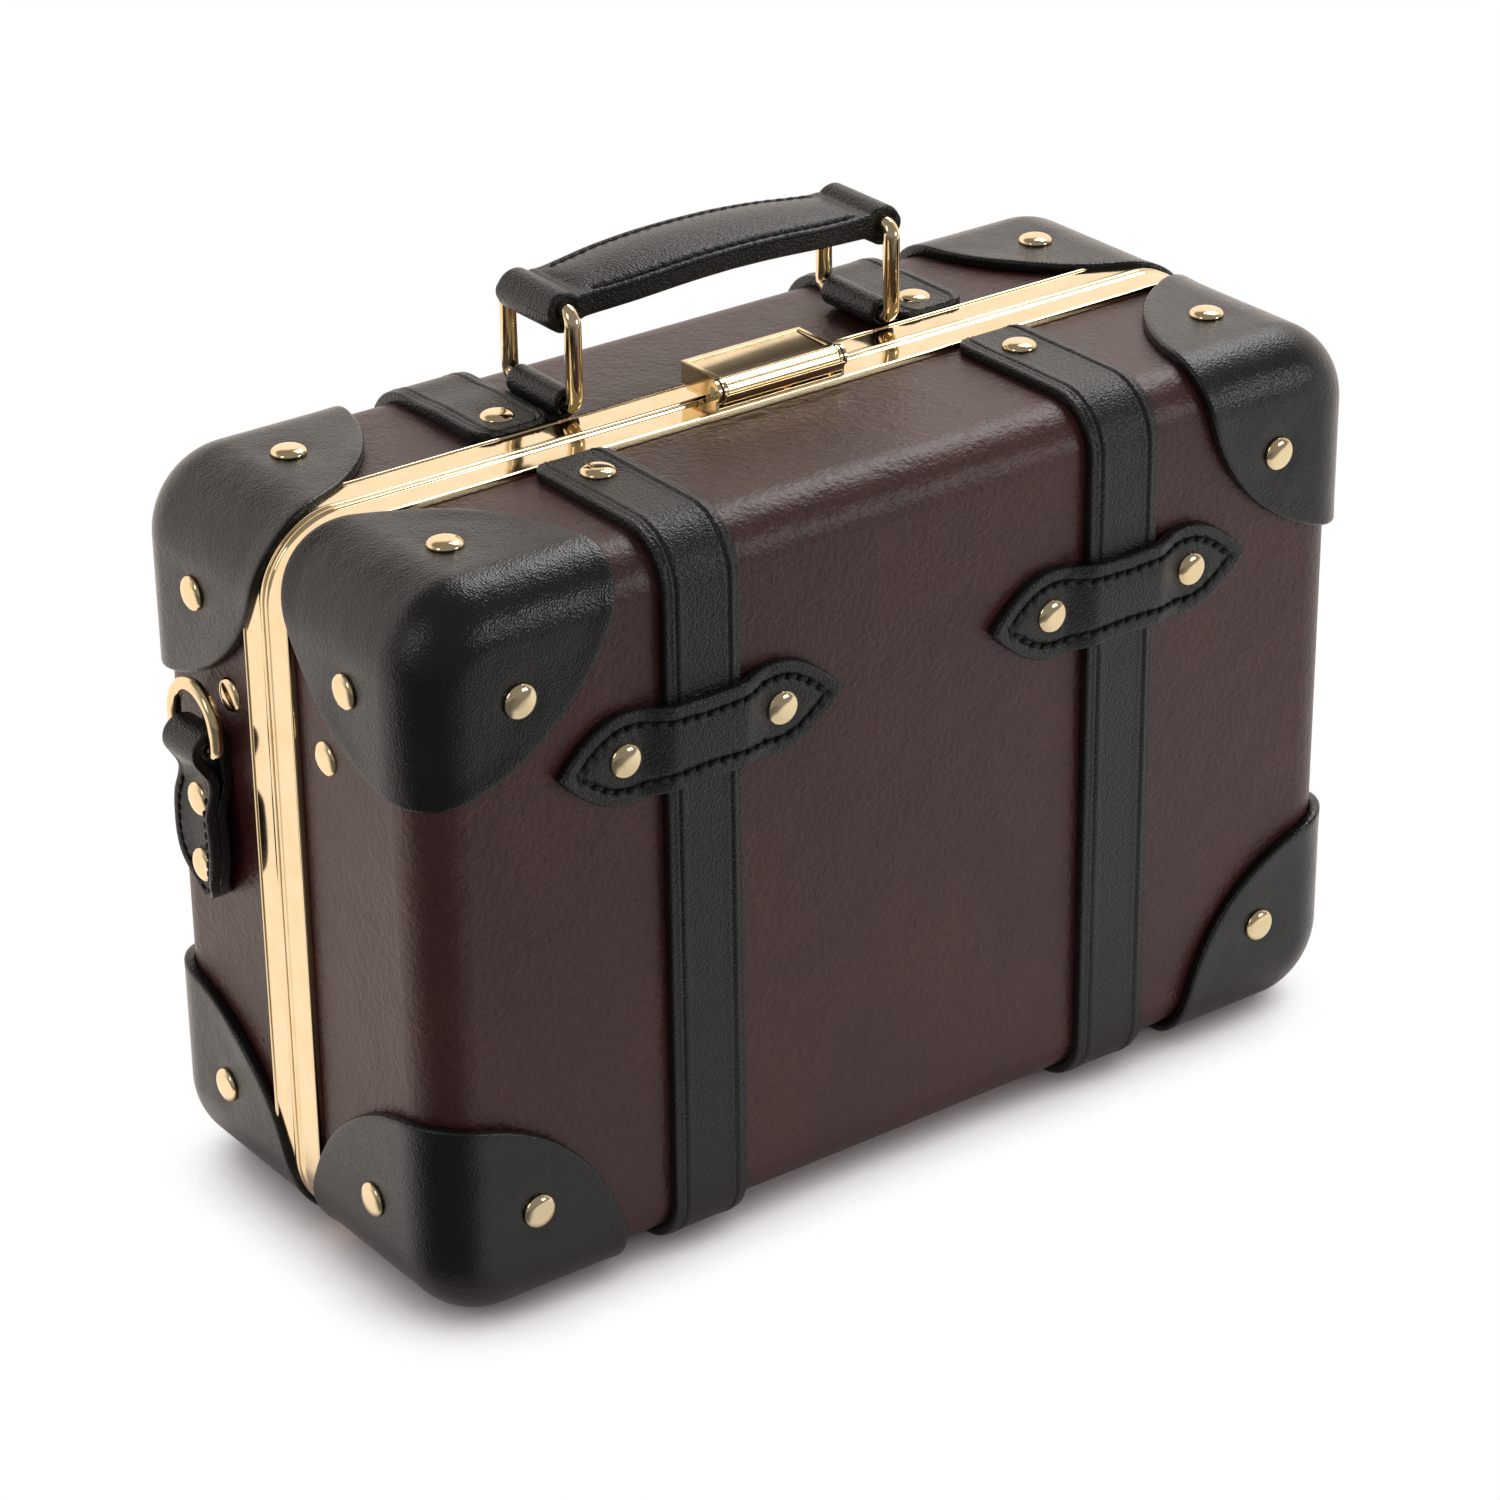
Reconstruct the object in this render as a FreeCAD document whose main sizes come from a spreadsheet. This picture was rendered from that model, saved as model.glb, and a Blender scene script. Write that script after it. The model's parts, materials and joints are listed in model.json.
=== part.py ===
import FreeCAD, Part
import math
import os

import Sketcher

# A small hand-carried case: two fibreboard trays closed by polished metal bands, leather corners,
# leather straps with keepers, a wire-and-leather handle, a flap lock and a carrying ring on each side.
# X runs along the length, Y from the front face to the back, Z up from the floor the case stands on.
# Millimetres. The halves part at the plane y = split, a little behind the middle of the depth.

doc = FreeCAD.newDocument("Suitcase")
sheet = doc.addObject("Spreadsheet::Sheet", "Sizes")

sizes = [
    ("case_length", 200, "over the leather corners, along X"),
    ("case_height", 134, "over the leather corners, along Z"),
    ("front_depth", 45, "split plane to the front leather plane"),
    ("rear_depth", 42, "split plane to the rear leather plane"),
    ("foot_height", 1, "crown of the rivets that the case stands on"),
    ("corner_radius", 15, "outline corners, at the leather plane"),
    ("edge_radius", 10.5, "rounding round the front and rear faces, at the leather plane"),
    ("leather", 2, "thickness of straps, corners and keepers"),
    ("shell", 2, "thickness of the fibreboard"),
    ("lining", 0.8, "thickness of the lining"),
    ("split_gap", 0.3, "between the two bands"),
    ("band_width", 7, "each metal band, along Y"),
    ("band_inset", 1, "band surface inside the leather plane"),
    ("bead_width", 1.2, "raised bead beside the split"),
    ("bead_rise", 0.4, "bead above the band"),
    ("flange", 1, "metal over the board's edge at the split"),
    ("cap_radius", 38.4, "leather corner's round outline"),
    ("cap_shift", 3.1, "middle of that round from the face, towards the split"),
    ("rivet_inset", 20, "corner rivets from the leather planes"),
    ("rivet_radius", 3.1, "rivet head"),
    ("rivet_dome", 1.1, "rivet head's height"),
    ("shank_radius", 1.1, "rivet shank"),
    ("foot_flat", 1.9, "radius of the flat crown on a foot rivet"),
    ("strap_x", 44.5, "middle of each strap from the middle of the case"),
    ("strap_width", 15, "strap"),
    ("strap_gap", 0.2, "strap's end from the band"),
    ("strap_clip", 2.5, "cut corners of a strap's end"),
    ("strap_rivet_front", 9.2, "front strap's rivet from the band"),
    ("strap_rivet_rear", 6, "rear strap's rivet from the band"),
    ("keeper_z", 98.4, "keeper's middle above the floor"),
    ("keeper_half", 27.5, "keeper's middle to its point"),
    ("keeper_waist", 7.2, "half height over the strap"),
    ("keeper_lobe", 8.3, "half height at a lobe"),
    ("keeper_lobe_x", 14, "lobe from the middle"),
    ("keeper_rivet_x", 15.7, "keeper rivets from the middle"),
    ("keeper_neck_x", 22, "where a lobe runs into the point"),
    ("keeper_neck", 4.6, "half height there"),
    ("keeper_flank_round", 24, "hollow flank of the point"),
    ("keeper_lobe_round", 11, "round of a lobe"),
    ("keeper_waist_round", 95, "hollow between the lobes"),
    ("hump_inner", 8.2, "keeper's raised part, half length at the top"),
    ("hump_outer", 11.2, "keeper's raised part, half length at the board"),
    ("tab_y", 22.5, "ring tab's middle"),
    ("tab_axis_z", 88.5, "ring bar above the floor"),
    ("tab_roll", 3.7, "radius of the tab's fold over the bar"),
    ("tab_neck", 5, "half width of the fold"),
    ("tab_half", 7.75, "half width at the widest"),
    ("tab_neck_z", 84, "bottom of the fold"),
    ("tab_wide_top", 75, "top of the widest stretch"),
    ("tab_wide_low", 71, "bottom of the widest stretch"),
    ("tab_tip_z", 59, "tab's point"),
    ("tab_shoulder_round", 26, "round above the widest stretch"),
    ("tab_tip_round", 22, "round down to the point"),
    ("tab_rivet_low", 65.5, "lower tab rivet"),
    ("tab_rivet_high", 78, "upper tab rivet"),
    ("ring_wire", 1.25, "radius of the ring's wire"),
    ("ring_half", 6.75, "ring's half width at the wire's middle"),
    ("ring_rise", 10.5, "bar to the top of the bow, wire's middle"),
    ("ring_bend", 1.6, "bend beside the bar"),
    ("loop_x", 33.7, "handle loops from the middle of the case"),
    ("loop_y", 17, "handle's middle"),
    ("loop_half", 9.7, "loop's half width at the wire's middle"),
    ("loop_low", 136.2, "loop's lower bar above the floor"),
    ("loop_high", 153, "loop's upper bar above the floor"),
    ("loop_wire", 1.5, "radius of the loop's wire"),
    ("loop_bend", 2.2, "bend at the loop's corners"),
    ("running_fit", 0.1, "play round a bar in leather"),
    ("roll_radius", 3.2, "leather roll round a lower bar"),
    ("roll_half", 7.4, "half width of that roll"),
    ("tail", 1, "thickness of the roll's tail under the strap"),
    ("tail_length", 16, "tail's reach from the bar"),
    ("grip_roll", 3.6, "grip's fold round an upper bar"),
    ("grip_end_half", 7.8, "grip's half width at the bars"),
    ("grip_half", 9.5, "grip's half width in the middle"),
    ("grip_neck_x", 28, "grip's necks from the middle"),
    ("grip_flare_x", 20, "where the grip has its full width"),
    ("grip_neck_low", 151.3, "underside at the necks"),
    ("grip_neck_side", 155, "upper edge of the sides at the necks"),
    ("grip_neck_crown", 0.4, "rise of the padding at the necks"),
    ("grip_flare_low", 152.3, "underside at full width"),
    ("grip_flare_side", 155.7, "upper edge of the sides at full width"),
    ("grip_flare_crown", 1, "rise of the padding at full width"),
    ("grip_middle_low", 153.2, "underside in the middle"),
    ("grip_middle_side", 156.7, "upper edge of the sides in the middle"),
    ("grip_middle_crown", 1, "rise of the padding in the middle"),
    ("core_half_x", 24, "grip core's half length"),
    ("core_half_y", 6, "grip core's half width"),
    ("core_low", 153.7, "core's underside"),
    ("core_high", 155.4, "core's top"),
    ("flap_half", 12.6, "lock flap's half length"),
    ("flap_top", 139.9, "flap's top above the floor"),
    ("flap_sheet", 1, "flap's top sheet"),
    ("flap_wall", 0.8, "flap's side walls"),
    ("flap_wall_low", 135.7, "bottom of the side walls"),
    ("flap_rear_y", 6.2, "flap's rear edge"),
    ("flap_tray", 0.4, "depth of the tray in the top"),
    ("flap_rim", 1, "rim round the tray"),
    ("flap_axis_y", -4.35, "flap's hinge axis"),
    ("flap_roll", 2.15, "flap's rolled front edge"),
    ("lip_low", 138.2, "bottom of the rear lip"),
    ("lock_pin", 0.8, "radius of the flap's pin"),
    ("pin_fit", 0.05, "running fit on a pin"),
    ("lock_plate", 0.8, "thickness of the lock's plates"),
    ("lock_plate_half", 13.6, "front plate's half length"),
    ("lock_plate_front", -5.3, "front plate's front edge"),
    ("lock_plate_back", -0.1, "front plate's rear edge"),
    ("cheek", 0.7, "cheeks that hold the flap's pin"),
    ("cheek_radius", 2, "cheek round the pin"),
    ("catch_half", 10, "catch plate's half length"),
    ("catch_front", 3.1, "catch plate's front edge"),
    ("catch_back", 8.3, "catch plate's rear edge"),
    ("post_half", 6, "catch post's half length"),
    ("post_front", 3.1, "catch post's front"),
    ("post_back", 5, "catch post's back"),
    ("post_top", 137.3, "catch post's top"),
    ("clip_play", 0.4, "spring clip from the post"),
    ("clip_sheet", 0.6, "spring clip's strip"),
    ("clip_low", 135.5, "bottom of the clip's jaws"),
    ("hinge_x", 62, "hinges from the middle of the case"),
    ("hinge_half", 9, "hinge's half length"),
    ("hinge_z", 1.5, "hinge axis above the floor"),
    ("knuckle", 1.2, "knuckle's radius"),
    ("knuckle_gap", 0.3, "between knuckles, and round them"),
    ("hinge_pin", 0.55, "hinge pin's radius"),
    ("leaf", 0.8, "hinge leaf's thickness"),
    ("leaf_reach", 6.6, "leaf's far edge from the split"),
    ("leaf_start", 1.65, "leaf's near edge from the split"),
    ("stay_y", 14.9, "stay rivets from the split"),
    ("stay_z", 98.6, "stay rivets above the floor"),
    ("stay_width", 8, "stay strap"),
    ("stay_sheet", 1.2, "stay strap's thickness"),
    ("stay_play", 0.4, "stay strap from the lining"),
    ("stay_low", 56, "middle of the folded stay above the floor"),
]

for row, (alias, number, note) in enumerate(sizes, 1):
    sheet.set(f"A{row}", note)
    sheet.set(f"B{row}", str(number))
    sheet.setAlias(f"B{row}", alias)
doc.recompute()


# Sizes in words: bare aliases in the formulas below stand for the sheet's cells

aliases = {alias for alias, number, note in sizes}


def cells(formula):
    words = []
    for piece in formula.replace("(", " ( ").replace(")", " ) ").split():
        words.append("Sizes." + piece if piece in aliases else piece)
    return " ".join(words)


def value(formula):
    return float(sheet.evalExpression(cells(formula)))


# Places that follow from the driving dimensions

split = "( front_depth - rear_depth ) / 2"
half_length = "case_length / 2"
top_plane = "foot_height + case_height"
band_top = f"{top_plane} - band_inset"
board_top = f"{top_plane} - leather"
board_side = f"{half_length} - leather"
pivot_z = "flap_top - flap_roll"
halves = {"front": -1, "rear": 1}
ends = {"left": -1, "right": 1}
levels = {"top": 1, "bottom": -1}
axis_vectors = {
    "X": FreeCAD.Vector(1, 0, 0),
    "Y": FreeCAD.Vector(0, 1, 0),
    "Z": FreeCAD.Vector(0, 0, 1),
}
planes = {"Z": "XY_Plane", "Y": "XZ_Plane", "X": "YZ_Plane"}
plane_normals = {"Z": 1, "Y": -1, "X": 1}


def signed(sign, formula):
    return formula if sign > 0 else f"0 - ( {formula} )"


def leather_plane(sign):
    depth = "rear_depth" if sign > 0 else "front_depth"
    return f"{split} + {signed(sign, depth)}"


def beside_split(sign, distance):
    return f"{split} + {signed(sign, f'{distance} + split_gap / 2')}"


# Sketches: closed outlines whose corners are all placed from the origin

def place_point(sketch, geometry, end, formulas):
    measures = (("DistanceX", -2), ("DistanceY", -1))
    for (kind, axis), formula in zip(measures, formulas):
        number = value(formula)
        if abs(number) < 1e-9:
            sketch.addConstraint(Sketcher.Constraint("PointOnObject", geometry, end, axis))
            continue
        index = sketch.addConstraint(Sketcher.Constraint(kind, -1, 1, geometry, end, number))
        sketch.setExpression(f"Constraints[{index}]", cells(formula))


def arc_between(start, finish, radius):
    # A positive radius bulges to the right of the way from start to finish
    chord = finish - start
    rise = math.sqrt(max(radius * radius - chord.Length ** 2 / 4, 0))
    left = FreeCAD.Vector(-chord.y, chord.x, 0).normalize()
    centre = (start + finish) / 2 + left * math.copysign(rise, radius)
    first, last = (start, finish) if radius > 0 else (finish, start)
    angles = [math.atan2((point - centre).y, (point - centre).x) for point in (first, last)]
    circle = Part.Circle(centre, FreeCAD.Vector(0, 0, 1), abs(radius))
    return Part.ArcOfCircle(circle, angles[0], angles[1])


def outline(sketch, corners, arcs):
    # arcs gives the radius of the edge that leaves a corner, by the corner's number
    points = [FreeCAD.Vector(value(x), value(y), 0) for x, y in corners]
    edges = []
    for number, start in enumerate(points):
        finish = points[(number + 1) % len(points)]
        if number in arcs:
            radius = value(arcs[number])
            sketch.addGeometry(arc_between(start, finish, radius))
            edges.append((1, 2) if radius > 0 else (2, 1))
        else:
            sketch.addGeometry(Part.LineSegment(start, finish))
            edges.append((1, 2))
    for number, (first, last) in enumerate(edges):
        follower = (number + 1) % len(edges)
        join = Sketcher.Constraint("Coincident", number, last, follower, edges[follower][0])
        sketch.addConstraint(join)
        place_point(sketch, number, first, corners[number])
    for number, formula in arcs.items():
        radius = value(formula)
        index = sketch.addConstraint(Sketcher.Constraint("Radius", number, abs(radius)))
        sketch.setExpression(f"Constraints[{index}]", cells(signed(radius, formula)))


def rounded_rectangle(low, high, radius):
    # Corners and quarter arcs of a rectangle between two points
    x_low, y_low = low
    x_high, y_high = high
    corners = [
        (f"{x_low} + {radius}", y_low),
        (f"{x_high} - ( {radius} )", y_low),
        (x_high, f"{y_low} + {radius}"),
        (x_high, f"{y_high} - ( {radius} )"),
        (f"{x_high} - ( {radius} )", y_high),
        (f"{x_low} + {radius}", y_high),
        (x_low, f"{y_high} - ( {radius} )"),
        (x_low, f"{y_low} + {radius}"),
    ]
    return corners, {1: radius, 3: radius, 5: radius, 7: radius}


def case_outline(inset):
    # The case seen from the front, inset from the leather planes
    low = (f"0 - ( {half_length} - ( {inset} ) )", f"foot_height + {inset}")
    high = (f"{half_length} - ( {inset} )", f"{top_plane} - ( {inset} )")
    return rounded_rectangle(low, high, f"corner_radius - ( {inset} )")


# Solids: a body with one padded outline, primitives and booleans

def prism(name, axis, corners, arcs, start, length, toward):
    # The outline lies across axis at start, and the pad runs toward +1 or -1
    body = doc.addObject("PartDesign::Body", name)
    sketch = body.newObject("Sketcher::SketchObject", name + "_outline")
    plane = [item for item in body.Origin.OriginFeatures if item.Role == planes[axis]][0]
    sketch.AttachmentSupport = [(plane, "")]
    sketch.MapMode = "FlatFace"
    outline(sketch, corners, arcs)
    pad = body.newObject("PartDesign::Pad", name + "_pad")
    pad.Profile = sketch
    pad.Reversed = plane_normals[axis] != toward
    pad.setExpression("Length", cells(length))
    body.setExpression(f"Placement.Base.{axis.lower()}", cells(start))
    doc.recompute()
    return body


def round_far_face(body, radius):
    # Rounds the edges of the face at the far end of a pad along Y
    pad = body.Tip
    reach = max(pad.Shape.BoundBox.YMax, pad.Shape.BoundBox.YMin, key=abs)
    names = []
    for number, edge in enumerate(pad.Shape.Edges, 1):
        if all(abs(vertex.Point.y - reach) < 1e-6 for vertex in edge.Vertexes):
            names.append(f"Edge{number}")
    fillet = body.newObject("PartDesign::Fillet", body.Name + "_rounding")
    fillet.Base = (pad, names)
    fillet.setExpression("Radius", cells(radius))
    doc.recompute()


def box(name, low, high):
    solid = doc.addObject("Part::Box", name)
    for side, axis, first, last in zip(("Length", "Width", "Height"), "xyz", low, high):
        solid.setExpression(f"Placement.Base.{axis}", cells(first))
        solid.setExpression(side, cells(f"{last} - ( {first} )"))
    return solid


def cylinder(name, axis, radius, start, length):
    solid = doc.addObject("Part::Cylinder", name)
    solid.setExpression("Radius", cells(radius))
    solid.setExpression("Height", cells(length))
    solid.Placement.Rotation = FreeCAD.Rotation(axis_vectors["Z"], axis_vectors[axis])
    for letter, formula in zip("xyz", start):
        solid.setExpression(f"Placement.Base.{letter}", cells(formula))
    return solid


def fuse(name, solids):
    joined = doc.addObject("Part::MultiFuse", name)
    joined.Shapes = solids
    return joined


def cut(name, base, tool):
    solid = doc.addObject("Part::Cut", name)
    solid.Base = base
    solid.Tool = tool
    return solid


def common(name, base, tool):
    solid = doc.addObject("Part::Common", name)
    solid.Base = base
    solid.Tool = tool
    return solid


pieces = []


def piece(solid, label):
    solid.Label = label
    pieces.append(solid)
    return solid


# Rivets: one turned body for each length, and groups of copies

def turned_rivet(name, shank, crown):
    # Head above the local XY plane, shank below it; crown is the head's profile
    body = doc.addObject("PartDesign::Body", name)
    sketch = body.newObject("Sketcher::SketchObject", name + "_profile")
    plane = [item for item in body.Origin.OriginFeatures if item.Role == planes["Y"]][0]
    sketch.AttachmentSupport = [(plane, "")]
    sketch.MapMode = "FlatFace"
    corners = [("0", f"0 - ( {shank} )"), ("shank_radius", f"0 - ( {shank} )"), ("shank_radius", "0")]
    crown_corners, arcs = crown
    first = len(corners)
    outline(sketch, corners + crown_corners, {first + number: radius for number, radius in arcs.items()})
    turned = body.newObject("PartDesign::Revolution", name + "_turning")
    turned.Profile = sketch
    turned.ReferenceAxis = (sketch, ["V_Axis"])
    turned.Angle = 360
    doc.recompute()
    return body


dome_radius = "( rivet_radius ^ 2 + rivet_dome ^ 2 ) / ( 2 * rivet_dome )"
domed = ([("rivet_radius", "0"), ("0", "rivet_dome")], {0: dome_radius})
flat_crowned = (
    [("rivet_radius", "0"), ("foot_flat", "foot_height"), ("0", "foot_height")],
    {0: "rivet_radius"},
)

board_rivet = turned_rivet("board_rivet", "leather + shell", domed)
foot_rivet = turned_rivet("foot_rivet", "leather + shell", flat_crowned)
tab_rivet = turned_rivet("tab_rivet", "2 * leather + shell", domed)
stay_rivet_front = turned_rivet("stay_rivet_front", "shell + lining", domed)
stay_rivet_rear = turned_rivet("stay_rivet_rear", "shell + lining + stay_play + stay_sheet", domed)


def rivet_group(label, rivet, places):
    # places holds a point on the outer surface and the way the head faces, for each rivet
    solids = []
    for point, way in places:
        solid = rivet.Shape.copy()
        turn = FreeCAD.Rotation(axis_vectors["Z"], FreeCAD.Vector(*way))
        base = FreeCAD.Vector(*(value(formula) for formula in point))
        solid.Placement = FreeCAD.Placement(base, turn)
        solids.append(solid)
    group = doc.addObject("Part::Feature", label)
    group.Shape = Part.makeCompound(solids)
    group.Placement = FreeCAD.Placement()
    return piece(group, label)


def corner_places(sign):
    # The three faces of each leather corner, apart from the floor side
    across = f"{leather_plane(sign)} - {sign} * rivet_inset"
    inset_x = f"{half_length} - rivet_inset"
    heights = {"top": f"{top_plane} - rivet_inset", "bottom": "foot_height + rivet_inset"}
    places = []
    for end in ends.values():
        for level, height in heights.items():
            places.append(((signed(end, inset_x), leather_plane(sign), height), (0, sign, 0)))
            places.append(((signed(end, half_length), across, height), (end, 0, 0)))
        places.append(((signed(end, inset_x), across, top_plane), (0, 0, 1)))
    return places


def foot_places(sign):
    across = f"{leather_plane(sign)} - {sign} * rivet_inset"
    inset_x = f"{half_length} - rivet_inset"
    return [((signed(end, inset_x), across, "foot_height"), (0, 0, -1)) for end in ends.values()]


def strap_places(sign, half):
    across = beside_split(sign, f"band_width + strap_rivet_{half}")
    return [((signed(end, "strap_x"), across, top_plane), (0, 0, 1)) for end in ends.values()]


def keeper_places(sign):
    places = []
    for end in ends.values():
        for step in (-1, 1):
            along = f"{signed(end, 'strap_x')} + {step} * keeper_rivet_x"
            places.append(((along, leather_plane(sign), "keeper_z"), (0, sign, 0)))
    return places


def stay_places(sign):
    across = f"{split} + {sign} * stay_y"
    return [((signed(end, board_side), across, "stay_z"), (end, 0, 0)) for end in ends.values()]


def tab_places():
    outer = f"{half_length} + leather"
    places = []
    for end in ends.values():
        for height in ("tab_rivet_low", "tab_rivet_high"):
            places.append(((signed(end, outer), "tab_y", height), (end, 0, 0)))
    return places


# The two halves: board, lining, metal band and the leather on them

def half_blank(name, sign, inset, start):
    # Solid half case, inset from the leather planes, from start beside the split to the face
    corners, arcs = case_outline(inset)
    depth = "rear_depth" if sign > 0 else "front_depth"
    length = f"{depth} - ( {inset} ) - ( {start} ) - split_gap / 2"
    body = prism(name, "Y", corners, arcs, beside_split(sign, start), length, sign)
    round_far_face(body, f"edge_radius - ( {inset} )")
    return body


def band_blank(name, sign, inset, start, length):
    corners, arcs = case_outline(inset)
    return prism(name, "Y", corners, arcs, beside_split(sign, start), length, sign)


def metal_band(half, sign):
    # A channel that grips the board's edge, with a bead beside the split
    inner = "leather + shell + lining"
    outer = band_blank(f"band_{half}", sign, "band_inset", "0", "band_width")
    bead = band_blank(f"bead_{half}", sign, "band_inset - bead_rise", "0", "bead_width")
    opening = band_blank(f"band_opening_{half}", sign, inner, "0", "band_width")
    groove_out = band_blank(f"groove_out_{half}", sign, "leather", "flange", "band_width")
    groove_in = band_blank(f"groove_in_{half}", sign, "leather + shell", "flange", "band_width")
    groove = cut(f"groove_{half}", groove_out, groove_in)
    hollow = [opening, groove]
    for end, side in ends.items():
        low = f"{signed(side, 'hinge_x')} - hinge_half - knuckle_gap"
        high = f"{signed(side, 'hinge_x')} + hinge_half + knuckle_gap"
        reach = "knuckle + knuckle_gap"
        notch_low = (low, f"{split} - ( {reach} )", "0")
        notch_high = (high, f"{split} + {reach}", f"hinge_z + {reach}")
        hollow.append(box(f"hinge_notch_{half}_{end}", notch_low, notch_high))
    ring = fuse(f"ring_{half}", [outer, bead])
    piece(cut(f"frame_{half}_solid", ring, fuse(f"hollow_{half}", hollow)), f"frame_{half}")
    return outer


def hinge_leaf(half, sign, end, side):
    # Two outer knuckles on the rear leaf, which grip the pin, and the middle one on the front leaf
    middle = signed(side, "hinge_x")
    name = f"hinge_leaf_{half}_{end}"
    third = "hinge_half / 3"
    spans = [(f"0 - {third}", third)]
    if sign > 0:
        spans = [("0 - hinge_half", f"0 - {third} - knuckle_gap"), (f"{third} + knuckle_gap", "hinge_half")]
    faces = sorted((f"{split} + {sign} * leaf_start", f"{split} + {sign} * leaf_reach"), key=value)
    plate_top = "foot_height + band_inset"
    plate_low = f"{plate_top} - leaf"
    plate = box(
        f"{name}_plate",
        (f"{middle} - hinge_half", faces[0], plate_low),
        (f"{middle} + hinge_half", faces[1], plate_top),
    )
    solids = [plate]
    for number, (first, last) in enumerate(spans):
        web_faces = sorted((split, f"{split} + {sign} * leaf_start"), key=value)
        low = (f"{middle} + {first}", web_faces[0], plate_low)
        high = (f"{middle} + {last}", web_faces[1], plate_top)
        solids.append(box(f"{name}_web_{number}", low, high))
        start = (f"{middle} + {first}", split, "hinge_z")
        solids.append(cylinder(f"{name}_knuckle_{number}", "X", "knuckle", start, f"{last} - ( {first} )"))
    start = (f"{middle} - hinge_half", split, "hinge_z")
    play = "pin_fit" if sign < 0 else "0"
    bore = cylinder(f"{name}_bore", "X", f"hinge_pin + {play}", start, "2 * hinge_half")
    piece(cut(f"{name}_solid", fuse(f"{name}_whole", solids), bore), name)


def strap_plan(sign, side):
    # Seen from above, with the corners of the end beside the band cut off
    low = f"{signed(side, 'strap_x')} - strap_width / 2"
    high = f"{signed(side, 'strap_x')} + strap_width / 2"
    near = beside_split(sign, "band_width + strap_gap")
    clipped = beside_split(sign, "band_width + strap_gap + strap_clip")
    far = f"{leather_plane(sign)} + {sign} * leather"
    corners = [
        (low, far),
        (low, clipped),
        (f"{low} + strap_clip", near),
        (f"{high} - strap_clip", near),
        (high, clipped),
        (high, far),
    ]
    return corners if sign > 0 else corners[::-1]


def keeper_outline(middle):
    # Seen from the front: a waist over the strap, two lobes and a point at each end
    flank = [("keeper_neck_x", "keeper_neck"), ("keeper_lobe_x", "keeper_lobe")]
    upper_right = [(f"{middle} + {x}", f"keeper_z + {z}") for x, z in flank]
    upper_left = [(f"{middle} - {x}", f"keeper_z + {z}") for x, z in reversed(flank)]
    lower_left = [(f"{middle} - {x}", f"keeper_z - {z}") for x, z in flank]
    lower_right = [(f"{middle} + {x}", f"keeper_z - {z}") for x, z in reversed(flank)]
    corners = [(f"{middle} + keeper_half", "keeper_z")] + upper_right
    corners += [(middle, "keeper_z + keeper_waist")] + upper_left
    corners += [(f"{middle} - keeper_half", "keeper_z")] + lower_left
    corners += [(middle, "keeper_z - keeper_waist")] + lower_right
    hollow = "0 - keeper_flank_round"
    waist = "0 - keeper_waist_round"
    radii = [hollow, "keeper_lobe_round", waist, waist, "keeper_lobe_round", hollow]
    return corners, dict(enumerate(radii + radii))


def keeper(half, sign, end, side, rivets):
    # A strip that lies on the board and rises over the strap
    name = f"keeper_{half}_{end}"
    middle = signed(side, "strap_x")
    board = f"{leather_plane(sign)} - {sign} * leather"
    surface = leather_plane(sign)
    raised = f"{leather_plane(sign)} + {sign} * leather"
    profile = [
        (f"{middle} - keeper_half", board),
        (f"{middle} - hump_outer", board),
        (f"{middle} - hump_inner", surface),
        (f"{middle} + hump_inner", surface),
        (f"{middle} + hump_outer", board),
        (f"{middle} + keeper_half", board),
        (f"{middle} + keeper_half", surface),
        (f"{middle} + hump_outer", surface),
        (f"{middle} + hump_inner", raised),
        (f"{middle} - hump_inner", raised),
        (f"{middle} - hump_outer", surface),
        (f"{middle} - keeper_half", surface),
    ]
    strip = prism(f"{name}_strip", "Z", profile, {}, "keeper_z - keeper_lobe - 1", "2 * keeper_lobe + 2", 1)
    corners, arcs = keeper_outline(middle)
    shape = prism(f"{name}_shape", "Y", corners, arcs, board, "2 * leather", sign)
    piece(cut(f"{name}_solid", common(f"{name}_whole", strip, shape), rivets), name)


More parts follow.
